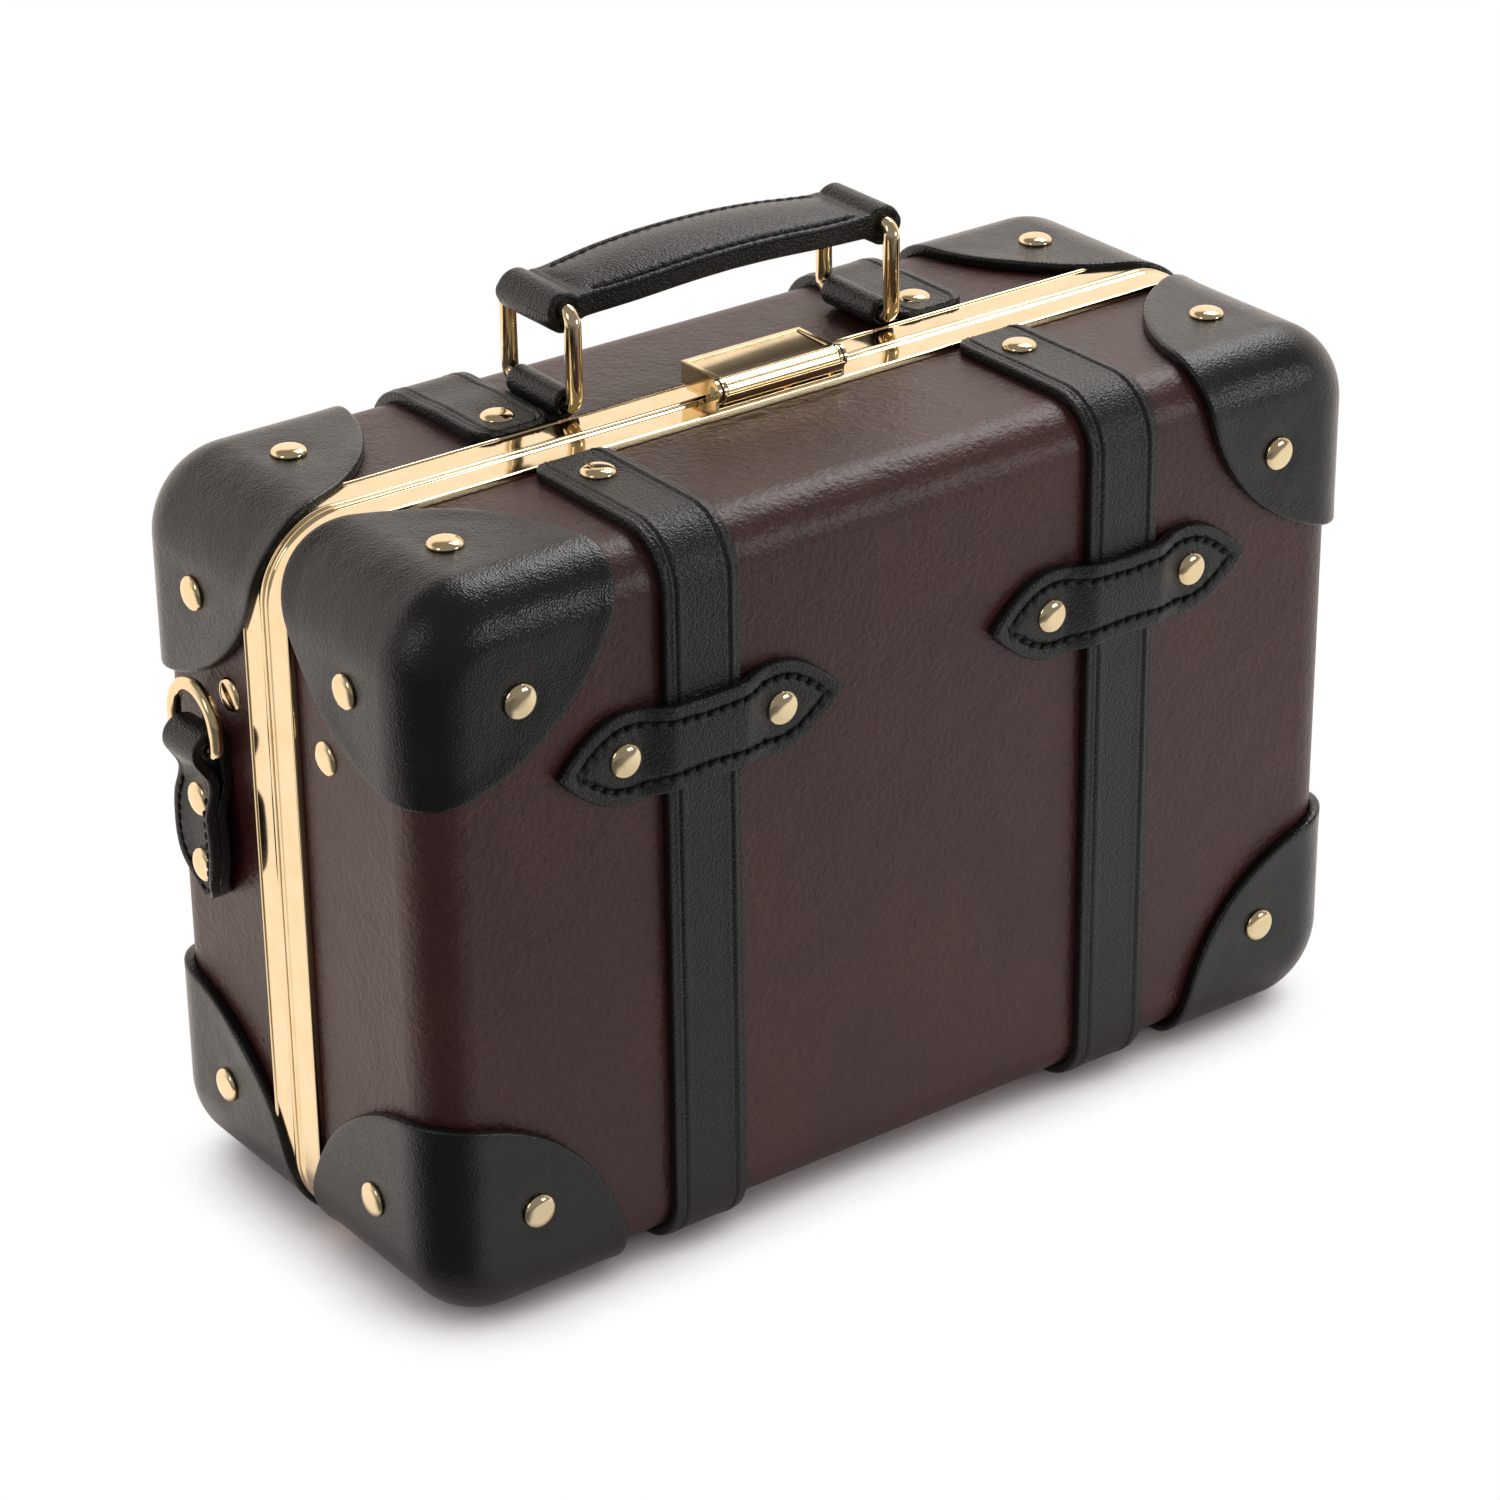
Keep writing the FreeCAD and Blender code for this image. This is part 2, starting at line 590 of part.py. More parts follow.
def build_half(half, sign):
    skin = half_blank(f"skin_{half}", sign, "0", "0")
    board = half_blank(f"board_{half}", sign, "leather", "flange")
    hollow = half_blank(f"board_hollow_{half}", sign, "leather + shell", "0")
    cloth = half_blank(f"cloth_{half}", sign, "leather + shell", "band_width")
    inside = half_blank(f"cloth_hollow_{half}", sign, "leather + shell + lining", "0")

    corner_rivets = rivet_group(f"corner_rivets_{half}", board_rivet, corner_places(sign))
    foot_rivets = rivet_group(f"foot_rivets_{half}", foot_rivet, foot_places(sign))
    strap_rivets = rivet_group(f"strap_rivets_{half}", board_rivet, strap_places(sign, half))
    keeper_rivets = rivet_group(f"keeper_rivets_{half}", board_rivet, keeper_places(sign))
    stay_rivet = stay_rivet_rear if sign > 0 else stay_rivet_front
    stay_rivets = rivet_group(f"stay_rivets_{half}", stay_rivet, stay_places(sign))
    rivets = [corner_rivets, foot_rivets, strap_rivets, keeper_rivets, stay_rivets]
    if sign > 0:
        rivets.append(rivet_group("ring_tab_rivets", tab_rivet, tab_places()))
    drill = doc.addObject("Part::Compound", f"drill_{half}")
    drill.Links = rivets

    piece(cut(f"shell_{half}_solid", cut(f"tray_{half}", board, hollow), drill), f"shell_{half}")
    piece(cut(f"lining_{half}_solid", cut(f"cloth_tray_{half}", cloth, inside), drill), f"lining_{half}")
    band = metal_band(half, sign)

    layer = cut(f"leather_layer_{half}", cut(f"leather_{half}", skin, board), band)
    for level, rise in levels.items():
        for end, side in ends.items():
            name = f"corner_{half}_{level}_{end}"
            cap = doc.addObject("Part::Sphere", f"{name}_cap")
            cap.setExpression("Radius", cells("cap_radius"))
            across = f"{leather_plane(sign)} - {sign} * cap_shift"
            height = top_plane if rise > 0 else "foot_height"
            for letter, formula in zip("xyz", (signed(side, half_length), across, height)):
                cap.setExpression(f"Placement.Base.{letter}", cells(formula))
            piece(cut(f"{name}_solid", common(f"{name}_whole", layer, cap), drill), name)

    for end, side in ends.items():
        name = f"strap_{half}_{end}"
        plan = prism(f"{name}_plan", "Z", strap_plan(sign, side), {}, "0", f"{top_plane} + leather", 1)
        strap = cut(f"{name}_drilled", common(f"{name}_whole", layer, plan), drill)
        if sign > 0:
            strap = cut(f"{name}_skived", strap, handle_tab(end, side, drill))
        piece(strap, name)
        keeper(half, sign, end, side, drill)
        hinge_leaf(half, sign, end, side)
    return drill


# Handle: leather rolls on the case, two wire loops and a padded grip

def handle_tab(end, side, drill):
    # The roll that holds a loop's lower bar, with a thin tail that the strap covers
    name = f"handle_tab_{end}"
    bar = signed(side, "loop_x")
    start = (bar, "loop_y - roll_half", "loop_low")
    roll = cylinder(f"{name}_roll", "Y", "roll_radius", start, "2 * roll_half")
    reach = sorted((bar, f"{bar} + {side} * tail_length"), key=value)
    low = (reach[0], "loop_y - roll_half", board_top)
    high = (reach[1], "loop_y + roll_half", f"{board_top} + tail")
    tail = box(f"{name}_tail", low, high)
    bore = cylinder(f"{name}_bore", "Y", "loop_wire + running_fit", start, "2 * roll_half")
    whole = cut(f"{name}_bored", fuse(f"{name}_whole", [roll, tail]), bore)
    return piece(cut(f"{name}_solid", whole, drill), name)


def wire_ring(label, corners, arcs, wire, x):
    # A bent wire in the plane across X at x, swept along its closed centre line
    path = doc.addObject("Sketcher::SketchObject", f"{label}_path")
    outline(path, corners, arcs)
    path.Placement.Rotation = FreeCAD.Rotation(FreeCAD.Vector(1, 1, 1), 120)
    path.setExpression("Placement.Base.x", cells(x))
    section = doc.addObject("Part::Circle", f"{label}_section")
    section.setExpression("Radius", cells(wire))
    section.Placement.Rotation = FreeCAD.Rotation(axis_vectors["Z"], axis_vectors["Y"])
    for letter, formula in zip("xyz", (x,) + corners[0]):
        section.setExpression(f"Placement.Base.{letter}", cells(formula))
    doc.recompute()
    ring = doc.addObject("Part::Sweep", f"{label}_solid")
    ring.Sections = [section]
    ring.Spine = (path, [f"Edge{number}" for number in range(1, len(path.Shape.Edges) + 1)])
    ring.Solid = True
    return piece(ring, label)


def handle_loop(end, side):
    low = ("loop_y - loop_half", "loop_low")
    high = ("loop_y + loop_half", "loop_high")
    corners, arcs = rounded_rectangle(low, high, "loop_bend")
    wire_ring(f"handle_loop_{end}", corners, arcs, "loop_wire", signed(side, "loop_x"))


def grip_section(name, x, half, level):
    # Across the grip at x: flat underside, upright sides and a padded crown
    low = f"grip_{level}_low"
    side = f"grip_{level}_side"
    crown = f"grip_{level}_crown"
    corners = [
        (f"loop_y - {half}", low),
        (f"loop_y + {half}", low),
        (f"loop_y + {half}", side),
        (f"loop_y - {half}", side),
    ]
    section = doc.addObject("Sketcher::SketchObject", name)
    outline(section, corners, {2: f"( {half} ^ 2 + {crown} ^ 2 ) / ( 2 * {crown} )"})
    section.Placement.Rotation = FreeCAD.Rotation(FreeCAD.Vector(1, 1, 1), 120)
    section.setExpression("Placement.Base.x", cells(x))
    return section


def grip():
    # A padded strip lofted between its necks and folded round the upper bars at both ends
    stations = [
        ("0 - grip_neck_x", "grip_end_half", "neck"),
        ("0 - grip_flare_x", "grip_half", "flare"),
        ("0", "grip_half", "middle"),
        ("grip_flare_x", "grip_half", "flare"),
        ("grip_neck_x", "grip_end_half", "neck"),
    ]
    strip = doc.addObject("Part::Loft", "grip_strip")
    strip.Sections = [grip_section(f"grip_section_{number}", *row) for number, row in enumerate(stations)]
    strip.Solid = True
    solids = [strip]
    bores = []
    bar = "loop_wire + running_fit"
    for end, side in ends.items():
        start = (signed(side, "loop_x"), "loop_y - grip_end_half", "loop_high")
        solids.append(cylinder(f"grip_roll_{end}", "Y", "grip_roll", start, "2 * grip_end_half"))
        bores.append(cylinder(f"grip_bore_{end}", "Y", bar, start, "2 * grip_end_half"))
        faces = sorted((signed(side, "grip_neck_x"), signed(side, "loop_x")), key=value)
        low = (faces[0], "loop_y - grip_end_half", "grip_neck_low")
        high = (faces[1], "loop_y + grip_end_half", "grip_neck_side")
        solids.append(box(f"grip_neck_{end}", low, high))
    low = ("0 - core_half_x", "loop_y - core_half_y", "core_low")
    high = ("core_half_x", "loop_y + core_half_y", "core_high")
    core = piece(box("grip_core_solid", low, high), "grip_core")
    hollow = fuse("grip_hollow", bores + [core])
    piece(cut("grip_solid", fuse("grip_whole", solids), hollow), "handle_grip")


# Lock: a flap hinged on the front band that snaps over a post on the rear band

def lock():
    axis = ("flap_axis_y", pivot_z)
    roll = cylinder("flap_roll_solid", "X", "flap_roll", ("0 - flap_half",) + axis, "2 * flap_half")
    under = "flap_top - flap_sheet"
    solids = [roll]
    low = ("0 - flap_half", "flap_axis_y", under)
    solids.append(box("flap_sheet_solid", low, ("flap_half", "flap_rear_y", "flap_top")))
    for end, side in ends.items():
        faces = sorted((signed(side, "flap_half"), signed(side, "flap_half - flap_wall")), key=value)
        low = (faces[0], "flap_axis_y", "flap_wall_low")
        solids.append(box(f"flap_wall_{end}", low, (faces[1], "flap_rear_y", under)))
    low = ("0 - flap_half", "flap_rear_y - flap_wall", "lip_low")
    solids.append(box("flap_lip", low, ("flap_half", "flap_rear_y", under)))
    low = ("0 - flap_half + flap_rim", "flap_axis_y + flap_rim", "flap_top - flap_tray")
    tray = box("flap_tray_solid", low, ("flap_half - flap_rim", "flap_rear_y - flap_rim", "flap_top"))
    start = ("0 - lock_plate_half",) + axis
    bore = cylinder("flap_bore", "X", "lock_pin + pin_fit", start, "2 * lock_plate_half")
    piece(cut("flap_solid", fuse("flap_whole", solids), fuse("flap_hollow", [tray, bore])), "lock_flap")

    pin = piece(cylinder("lock_pin_solid", "X", "lock_pin", start, "2 * lock_plate_half"), "lock_pin")
    plate_top = f"{band_top} + lock_plate"
    low = ("0 - lock_plate_half", "lock_plate_front", band_top)
    solids = [box("lock_plate_sheet", low, ("lock_plate_half", "lock_plate_back", plate_top))]
    for end, side in ends.items():
        faces = sorted((signed(side, "lock_plate_half"), signed(side, "lock_plate_half - cheek")), key=value)
        solids.append(cylinder(f"cheek_{end}_eye", "X", "cheek_radius", (faces[0],) + axis, "cheek"))
        low = (faces[0], "lock_plate_front", band_top)
        solids.append(box(f"cheek_{end}_foot", low, (faces[1], "flap_axis_y + cheek_radius", pivot_z)))
    piece(cut("lock_plate_solid", fuse("lock_plate_whole", solids), pin), "lock_hinge_plate")

    low = ("0 - catch_half", "catch_front", band_top)
    plate = box("catch_sheet", low, ("catch_half", "catch_back", plate_top))
    low = ("0 - post_half", "post_front", band_top)
    post = box("catch_post", low, ("post_half", "post_back", "post_top"))
    piece(fuse("catch_solid", [plate, post]), "lock_catch")

    jaw = "post_half + clip_play"
    back = f"{jaw} + clip_sheet"
    low = (f"0 - ( {back} )", "post_front", f"{under} - clip_sheet")
    solids = [box("clip_bridge", low, (back, "post_back", under))]
    for end, side in ends.items():
        faces = sorted((signed(side, jaw), signed(side, back)), key=value)
        low = (faces[0], "post_front", "clip_low")
        solids.append(box(f"clip_jaw_{end}", low, (faces[1], "post_back", under)))
    piece(fuse("clip_solid", solids), "lock_clip")


# Carrying rings: a folded leather tab on each side of the rear half, and its wire ring

def ring_and_tab(end, side, drill):
    name = f"ring_tab_{end}"
    axis_x = f"{signed(side, board_side)} + {side} * tab_roll"
    start = (axis_x, "tab_y - tab_neck", "tab_axis_z")
    roll = cylinder(f"{name}_roll", "Y", "tab_roll", start, "2 * tab_neck")
    corners = [
        ("tab_y", "tab_tip_z"),
        ("tab_y + tab_half", "tab_wide_low"),
        ("tab_y + tab_half", "tab_wide_top"),
        ("tab_y + tab_neck", "tab_neck_z"),
        ("tab_y + tab_neck", "tab_axis_z"),
        ("tab_y - tab_neck", "tab_axis_z"),
        ("tab_y - tab_neck", "tab_neck_z"),
        ("tab_y - tab_half", "tab_wide_top"),
        ("tab_y - tab_half", "tab_wide_low"),
    ]
    tip = "tab_tip_round"
    shoulder = "tab_shoulder_round"
    arcs = {0: tip, 2: shoulder, 6: shoulder, 8: tip}
    layers = prism(f"{name}_layers", "X", corners, arcs, signed(side, board_side), "2 * leather", side)
    bore = cylinder(f"{name}_bore", "Y", "ring_wire + running_fit", start, "2 * tab_neck")
    whole = cut(f"{name}_bored", fuse(f"{name}_whole", [layers, roll]), bore)
    piece(cut(f"{name}_solid", whole, drill), name)

    low = "tab_axis_z"
    bow = f"{low} + ring_rise - ring_half"
    path = [
        ("tab_y - ring_half + ring_bend", low),
        ("tab_y + ring_half - ring_bend", low),
        ("tab_y + ring_half", f"{low} + ring_bend"),
        ("tab_y + ring_half", bow),
        ("tab_y", f"{low} + ring_rise"),
        ("tab_y - ring_half", bow),
        ("tab_y - ring_half", f"{low} + ring_bend"),
    ]
    bends = {1: "ring_bend", 3: "ring_half", 4: "ring_half", 6: "ring_bend"}
    wire_ring(f"d_ring_{end}", path, bends, "ring_wire", axis_x)


# Stays: straps inside the case that stop the front half, folded down while it is shut

def stay(end, side, drill):
    name = f"stay_{end}"
    inner = f"{board_side} - shell - lining - stay_play"
    half = "stay_width / 2"
    rear = f"{split} + stay_y"
    front = f"{split} - stay_y"
    corners = [
        (f"{front} - {half}", f"stay_z + {half}"),
        (f"{front} - {half}", "stay_z"),
        (f"{split} - {half}", "stay_low"),
        (f"{split} + {half}", "stay_low"),
        (f"{rear} + {half}", "stay_z"),
        (f"{rear} + {half}", f"stay_z + {half}"),
        (f"{rear} - {half}", f"stay_z + {half}"),
        (split, "stay_low + stay_width"),
        (f"{front} + {half}", f"stay_z + {half}"),
    ]
    strap = prism(f"{name}_strap", "X", corners, {}, signed(side, inner), "stay_sheet", -side)
    piece(cut(f"{name}_solid", strap, drill), name)


drills = {half: build_half(half, sign) for half, sign in halves.items()}
grip()
lock()
for end, side in ends.items():
    start = (f"{signed(side, 'hinge_x')} - hinge_half", split, "hinge_z")
    piece(cylinder(f"hinge_pin_{end}_solid", "X", "hinge_pin", start, "2 * hinge_half"), f"hinge_pin_{end}")
    handle_loop(end, side)
    ring_and_tab(end, side, drills["rear"])
    stay(end, side, drills["rear"])

# Checks before anything is written

doc.recompute()
for item in doc.Objects:
    if {"Invalid", "Error"} & set(item.State):
        raise RuntimeError(f"{item.Name} failed: {item.State}")
for solid in pieces:
    shape = solid.Shape
    if shape.isNull() or not shape.isValid() or not shape.Solids:
        raise RuntimeError(f"{solid.Label} has no valid solid")

os.makedirs("parts", exist_ok=True)
for solid in pieces:
    solid.Shape.exportStep(f"parts/{solid.Label}.step")
    room = solid.Shape.BoundBox
    count = len(solid.Shape.Solids)
    spans = f"{room.XLength:.1f} x {room.YLength:.1f} x {room.ZLength:.1f} mm"
    print(f"{solid.Label}: {count} solid, {solid.Shape.Volume:.1f} mm3, {spans}")
print(len(pieces), "pieces")
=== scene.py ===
import json
import math

import bpy
import numpy as np
from mathutils import Matrix, Vector


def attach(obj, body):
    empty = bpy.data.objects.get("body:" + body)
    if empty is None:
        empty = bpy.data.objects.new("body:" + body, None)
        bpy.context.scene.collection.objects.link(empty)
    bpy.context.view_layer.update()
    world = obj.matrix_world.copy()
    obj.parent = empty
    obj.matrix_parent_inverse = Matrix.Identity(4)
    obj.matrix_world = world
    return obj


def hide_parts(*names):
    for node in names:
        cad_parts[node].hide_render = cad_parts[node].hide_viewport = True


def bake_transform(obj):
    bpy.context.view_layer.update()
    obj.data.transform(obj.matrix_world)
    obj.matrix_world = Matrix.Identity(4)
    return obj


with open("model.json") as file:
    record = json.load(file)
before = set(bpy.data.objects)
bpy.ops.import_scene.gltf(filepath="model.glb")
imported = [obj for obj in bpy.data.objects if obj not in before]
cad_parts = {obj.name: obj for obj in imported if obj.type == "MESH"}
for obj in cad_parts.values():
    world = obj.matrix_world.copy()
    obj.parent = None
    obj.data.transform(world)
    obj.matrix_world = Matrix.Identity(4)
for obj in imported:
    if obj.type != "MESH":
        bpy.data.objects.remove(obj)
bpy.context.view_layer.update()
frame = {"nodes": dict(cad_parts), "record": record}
print("frame loaded:", len(frame["nodes"]), "nodes")

metre = 0.001    # pieces are modelled in millimetres, and settled in metres where the frame has their place
sides = ((-1, "left"), (1, "right"))
halves = ((-1, "front"), (1, "rear"))


# Modelling helpers

def camel(node):
    # a CAD node's name as a piece's name
    first, *rest = node.split("_")
    return first + "".join(word.title() for word in rest)


def activate(piece):
    bpy.ops.object.select_all(action="DESELECT")
    piece.select_set(True)
    bpy.context.view_layer.objects.active = piece


def added(name):
    # the primitive that an operator has just made
    piece = bpy.context.active_object
    piece.name = name
    return piece


def editAll(piece):
    # edit mode with the whole mesh selected
    activate(piece)
    bpy.ops.object.mode_set(mode="EDIT")
    bpy.ops.mesh.select_mode(type="VERT")
    bpy.ops.mesh.select_all(action="SELECT")


def points(piece):
    flat = np.zeros(len(piece.data.vertices) * 3)
    piece.data.vertices.foreach_get("co", flat)
    return flat.reshape(-1, 3)


def shape(piece, place):
    piece.data.vertices.foreach_set("co", np.asarray(place, np.float32).ravel())
    piece.data.update()


def finishWith(piece, kind, **settings):
    activate(piece)
    modifier = piece.modifiers.new(kind.title(), kind)
    for name, setting in settings.items():
        setattr(modifier, name, setting)
    bpy.ops.object.modifier_apply(modifier=modifier.name)


def easeEdges(piece, width, segments):
    finishWith(piece, "BEVEL", width=width, segments=segments, limit_method="ANGLE",
               angle_limit=math.radians(40))


def smooth(piece, angle, flats=False):
    activate(piece)
    bpy.ops.object.shade_smooth_by_angle(angle=math.radians(angle))
    if flats:
        # keeps wide faces flat beside their eased edges
        finishWith(piece, "WEIGHTED_NORMAL", keep_sharp=True, weight=90)


def insideOut(piece):
    # whether the faces of a closed mesh look inwards, by the sign of its volume
    piece.data.calc_loop_triangles()
    index = np.zeros(len(piece.data.loop_triangles) * 3, np.int32)
    piece.data.loop_triangles.foreach_get("vertices", index)
    place = points(piece)
    a, b, c = (place - place.mean(axis=0))[index.reshape(-1, 3)].transpose(1, 0, 2)
    return (a * np.cross(b, c)).sum() < 0


def tidyMesh(piece, angle):
    # merges doubled points, turns the faces outwards and smooths all but the sharper edges
    editAll(piece)
    bpy.ops.mesh.remove_doubles(threshold=0.0005)
    bpy.ops.mesh.normals_make_consistent(inside=False)
    bpy.ops.object.mode_set(mode="OBJECT")
    if insideOut(piece):
        # pointed ends can mislead the operator
        editAll(piece)
        bpy.ops.mesh.flip_normals()
        bpy.ops.object.mode_set(mode="OBJECT")
    smooth(piece, angle)


def joined(pieces, name):
    bpy.ops.object.select_all(action="DESELECT")
    for piece in pieces:
        piece.select_set(True)
    bpy.context.view_layer.objects.active = pieces[0]
    if len(pieces) > 1:
        bpy.ops.object.join()
    return added(name)


def settle(piece, look, body=None, node=None):
    # from millimetres to metres, dressed, riding on its body and standing for its CAD node
    piece.data.transform(Matrix.Scale(metre, 4))
    piece.data.materials.clear()
    piece.data.materials.append(finishes[look])
    if body:
        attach(piece, body)
    if node:
        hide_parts(node)


# Shader helpers

class Signal:
    # a socket that can stand in sums
    def __init__(self, graph, socket):
        self.graph = graph
        self.socket = socket

    def output(self, name):
        return Signal(self.graph, pickSocket(self.socket.node.outputs, name))

    def maths(self, operation, first, second):
        return self.graph.node("ShaderNodeMath", {"operation": operation}, {0: first, 1: second})

    def __add__(self, other):
        return self.maths("ADD", self, other)

    def __radd__(self, other):
        return self.maths("ADD", other, self)

    def __sub__(self, other):
        return self.maths("SUBTRACT", self, other)

    def __rsub__(self, other):
        return self.maths("SUBTRACT", other, self)

    def __mul__(self, other):
        return self.maths("MULTIPLY", self, other)

    def __rmul__(self, other):
        return self.maths("MULTIPLY", other, self)


def pickSocket(sockets, key):
    if isinstance(key, int):
        return sockets[key]
    for socket in sockets:
        if key in (socket.identifier, socket.name):
            return socket
    raise KeyError(key)


class Graph:
    def __init__(self, tree):
        self.tree = tree
        tree.nodes.clear()

    def node(self, kind, settings=None, sockets=None):
        made = self.tree.nodes.new(kind)
        for name, setting in (settings or {}).items():
            setattr(made, name, setting)
        for key, given in (sockets or {}).items():
            socket = pickSocket(made.inputs, key)
            if isinstance(given, Signal):
                self.tree.links.new(given.socket, socket)
            else:
                socket.default_value = given
        return Signal(self, made.outputs[0] if made.outputs else None)

    def mix(self, factor, first, second):
        sockets = {"Factor_Float": factor, "A_Color": first, "B_Color": second}
        return self.node("ShaderNodeMix", {"data_type": "RGBA"}, sockets).output("Result_Color")

    def vector(self, operation, first, second=(0.0, 0.0, 0.0)):
        return self.node("ShaderNodeVectorMath", {"operation": operation}, {0: first, 1: second})

    def towards(self, place, direction):
        # how far a place lies in a direction
        return self.vector("DOT_PRODUCT", place, direction).output("Value")

    def scaled(self, vector, factor):
        return self.node("ShaderNodeVectorMath", {"operation": "SCALE"}, {0: vector, "Scale": factor})

    def millimetres(self):
        place = self.node("ShaderNodeTexCoord").output("Object")
        return self.scaled(place, 1 / metre)

    def noise(self, vector, size, detail=2.0, roughness=0.5):
        # blotches about size millimetres across
        sockets = {"Vector": vector, "Scale": 1 / size, "Detail": detail, "Roughness": roughness}
        return self.node("ShaderNodeTexNoise", {}, sockets)

    def cells(self, vector, size, feature="F1"):
        sockets = {"Vector": vector, "Scale": 1 / size}
        return self.node("ShaderNodeTexVoronoi", {"feature": feature}, sockets)

    def waves(self, vector, **sockets):
        sockets = {"Vector": vector, **sockets}
        return self.node("ShaderNodeTexWave", {"bands_direction": "DIAGONAL"}, sockets)

    def between(self, value, low, high):
        sockets = {0: value, 1: low, 2: high, 3: 0.0, 4: 1.0}
        return self.node("ShaderNodeMapRange", {"interpolation_type": "SMOOTHSTEP"}, sockets)

    def bump(self, height, depth):
        # depth in millimetres of a height that runs from 0 to 1
        sockets = {"Height": height, "Distance": depth * metre, "Strength": 1.0}
        return self.node("ShaderNodeBump", {}, sockets)


def tone(red, green, blue):
    # a colour as it looks on screen, 0 to 255, as the shader's linear light
    linear = []
    for channel in (red, green, blue):
        share = channel / 255
        linear.append(share / 12.92 if share <= 0.04045 else ((share + 0.055) / 1.055) ** 2.4)
    return (*linear, 1.0)


def finish(name, paint):
    # a material whose Principled sockets come from a function
    material = bpy.data.materials.new(name)
    material.use_nodes = True
    graph = Graph(material.node_tree)
    surface = graph.node("ShaderNodeBsdfPrincipled", {}, paint(graph))
    graph.node("ShaderNodeOutputMaterial", {}, {"Surface": surface})
    return material


# Finishes

def paintBoard(graph):
    # lacquered vulcanised board: pebbled by its press, a little uneven, with maroon in the depth
    place = graph.millimetres()
    pebble = graph.noise(place, 1.3, 3.0, 0.55)
    fine = graph.noise(graph.vector("MULTIPLY", place, (0.6, 1.0, 1.0)), 0.5)
    swell = graph.noise(place, 8.0, 1.0)
    cloud = graph.noise(place, 26.0, 3.0)
    body = graph.mix(graph.between(cloud, 0.35, 0.7), tone(53, 26, 24), tone(64, 30, 27))
    height = pebble * 0.55 + fine * 0.2 + swell * 0.7
    return {
        "Base Color": graph.mix(graph.between(pebble, 0.4, 0.75), body, tone(47, 22, 20)),
        "Roughness": 0.32 + fine * 0.14,
        "IOR": 1.5,
        "Specular Tint": (1.0, 0.93, 0.92, 1),
        "Normal": graph.bump(height, 0.36),
    }


def paintCornerLeather(graph):
    # smooth moulded hide with a fine grain, a little creased and uneven from the mould
    place = graph.millimetres()
    grain = graph.cells(place, 0.42)
    crinkle = graph.noise(place, 1.7, 3.0, 0.6)
    swell = graph.noise(place, 9.0)
    blot = graph.noise(place, 14.0, 3.0)
    fine = graph.noise(place, 0.3)
    return {
        "Base Color": graph.mix(graph.between(blot, 0.35, 0.7), tone(12, 12, 12), tone(19, 18, 17)),
        "Roughness": 0.17 + blot * 0.09 + fine * 0.07,
        "IOR": 1.45,
        "Normal": graph.bump(grain * 0.6 + fine * 0.4 + crinkle * 0.7 + swell * 2.4, 0.1),
    }


def paintStrapLeather(graph):
    # pebbled hide of the straps, keepers, tabs and grip, with painted shade where a seam's holes are
    place = graph.millimetres()
    warp = graph.scaled(graph.noise(place, 1.1).output("Color"), 0.5)
    grain = graph.cells(graph.vector("ADD", place, warp), 0.4, "SMOOTH_F1")
    fine = graph.noise(place, 0.25)
    blot = graph.noise(place, 9.0, 3.0)
    # the "seam" attribute holds the painted shade of a seam's holes, which turns the colour nearly black
    # there
    hole = graph.node("ShaderNodeAttribute", {"attribute_name": "seam"}).output("Fac")
    body = graph.mix(graph.between(blot, 0.35, 0.7), tone(13, 13, 13), tone(20, 19, 18))
    return {
        "Base Color": graph.mix(graph.between(hole, 0.2, 0.8), body, tone(4, 4, 4)),
        "Roughness": 0.23 + grain * 0.14 + fine * 0.08 + hole * 0.4,
        "IOR": 1.44,
        "Normal": graph.bump(1 - grain * 0.8 + fine * 0.3, 0.19),
    }


def paintGold(graph):
    # polished plate with a faint haze, not quite flat
    place = graph.millimetres()
    haze = graph.noise(place, 5.0, 3.0)
    swell = graph.noise(place, 11.0, 1.0)
    return {
        "Base Color": graph.mix(graph.between(haze, 0.3, 0.75), tone(230, 211, 173), tone(226, 203, 160)),
        "Metallic": 1.0,
        "Roughness": 0.06 + haze * 0.06,
        "Normal": graph.bump(swell, 0.008),
    }


def paintSteel(graph):
    # drawn wire and strip, with fine lines along X
    lines = graph.noise(graph.vector("MULTIPLY", graph.millimetres(), (1.0, 8.0, 8.0)), 1.0)
    return {
        "Base Color": graph.mix(lines, tone(170, 168, 165), tone(195, 193, 190)),
        "Metallic": 1.0,
        "Roughness": 0.22 + lines * 0.15,
    }


def paintLining(graph):
    # plain woven cotton
    place = graph.millimetres()
    warp = graph.waves(place, Scale=0.55, Distortion=0.6, Detail=1.0)
    fuzz = graph.noise(place, 0.35)
    cloud = graph.noise(place, 20.0, 3.0)
    body = graph.mix(cloud, tone(92, 52, 46), tone(104, 60, 52))
    return {
        "Base Color": graph.mix(warp * 0.5 + fuzz * 0.3, body, tone(70, 38, 34)),
        "Roughness": 0.85 + fuzz * 0.1,
        "Normal": graph.bump(warp * 0.6 + fuzz * 0.4, 0.12),
    }


def paintThread(graph):
    # waxed black thread with its twist
    twist = graph.waves(graph.millimetres(), Scale=1.6)
    return {
        "Base Color": graph.mix(twist, tone(7, 7, 7), tone(15, 14, 14)),
        "Roughness": 0.6 + twist * 0.1,
        "Normal": graph.bump(twist, 0.05),
    }


finishes = {
    "board": finish("board", paintBoard),
    "corner": finish("cornerLeather", paintCornerLeather),
    "strap": finish("strapLeather", paintStrapLeather),
    "gold": finish("goldPlate", paintGold),
    "steel": finish("steel", paintSteel),
    "lining": finish("lining", paintLining),
    "thread": finish("thread", paintThread),
}
print("finishes made:", len(finishes))


# CAD nodes get their finish first; those that a piece doesn't replace keep their shape

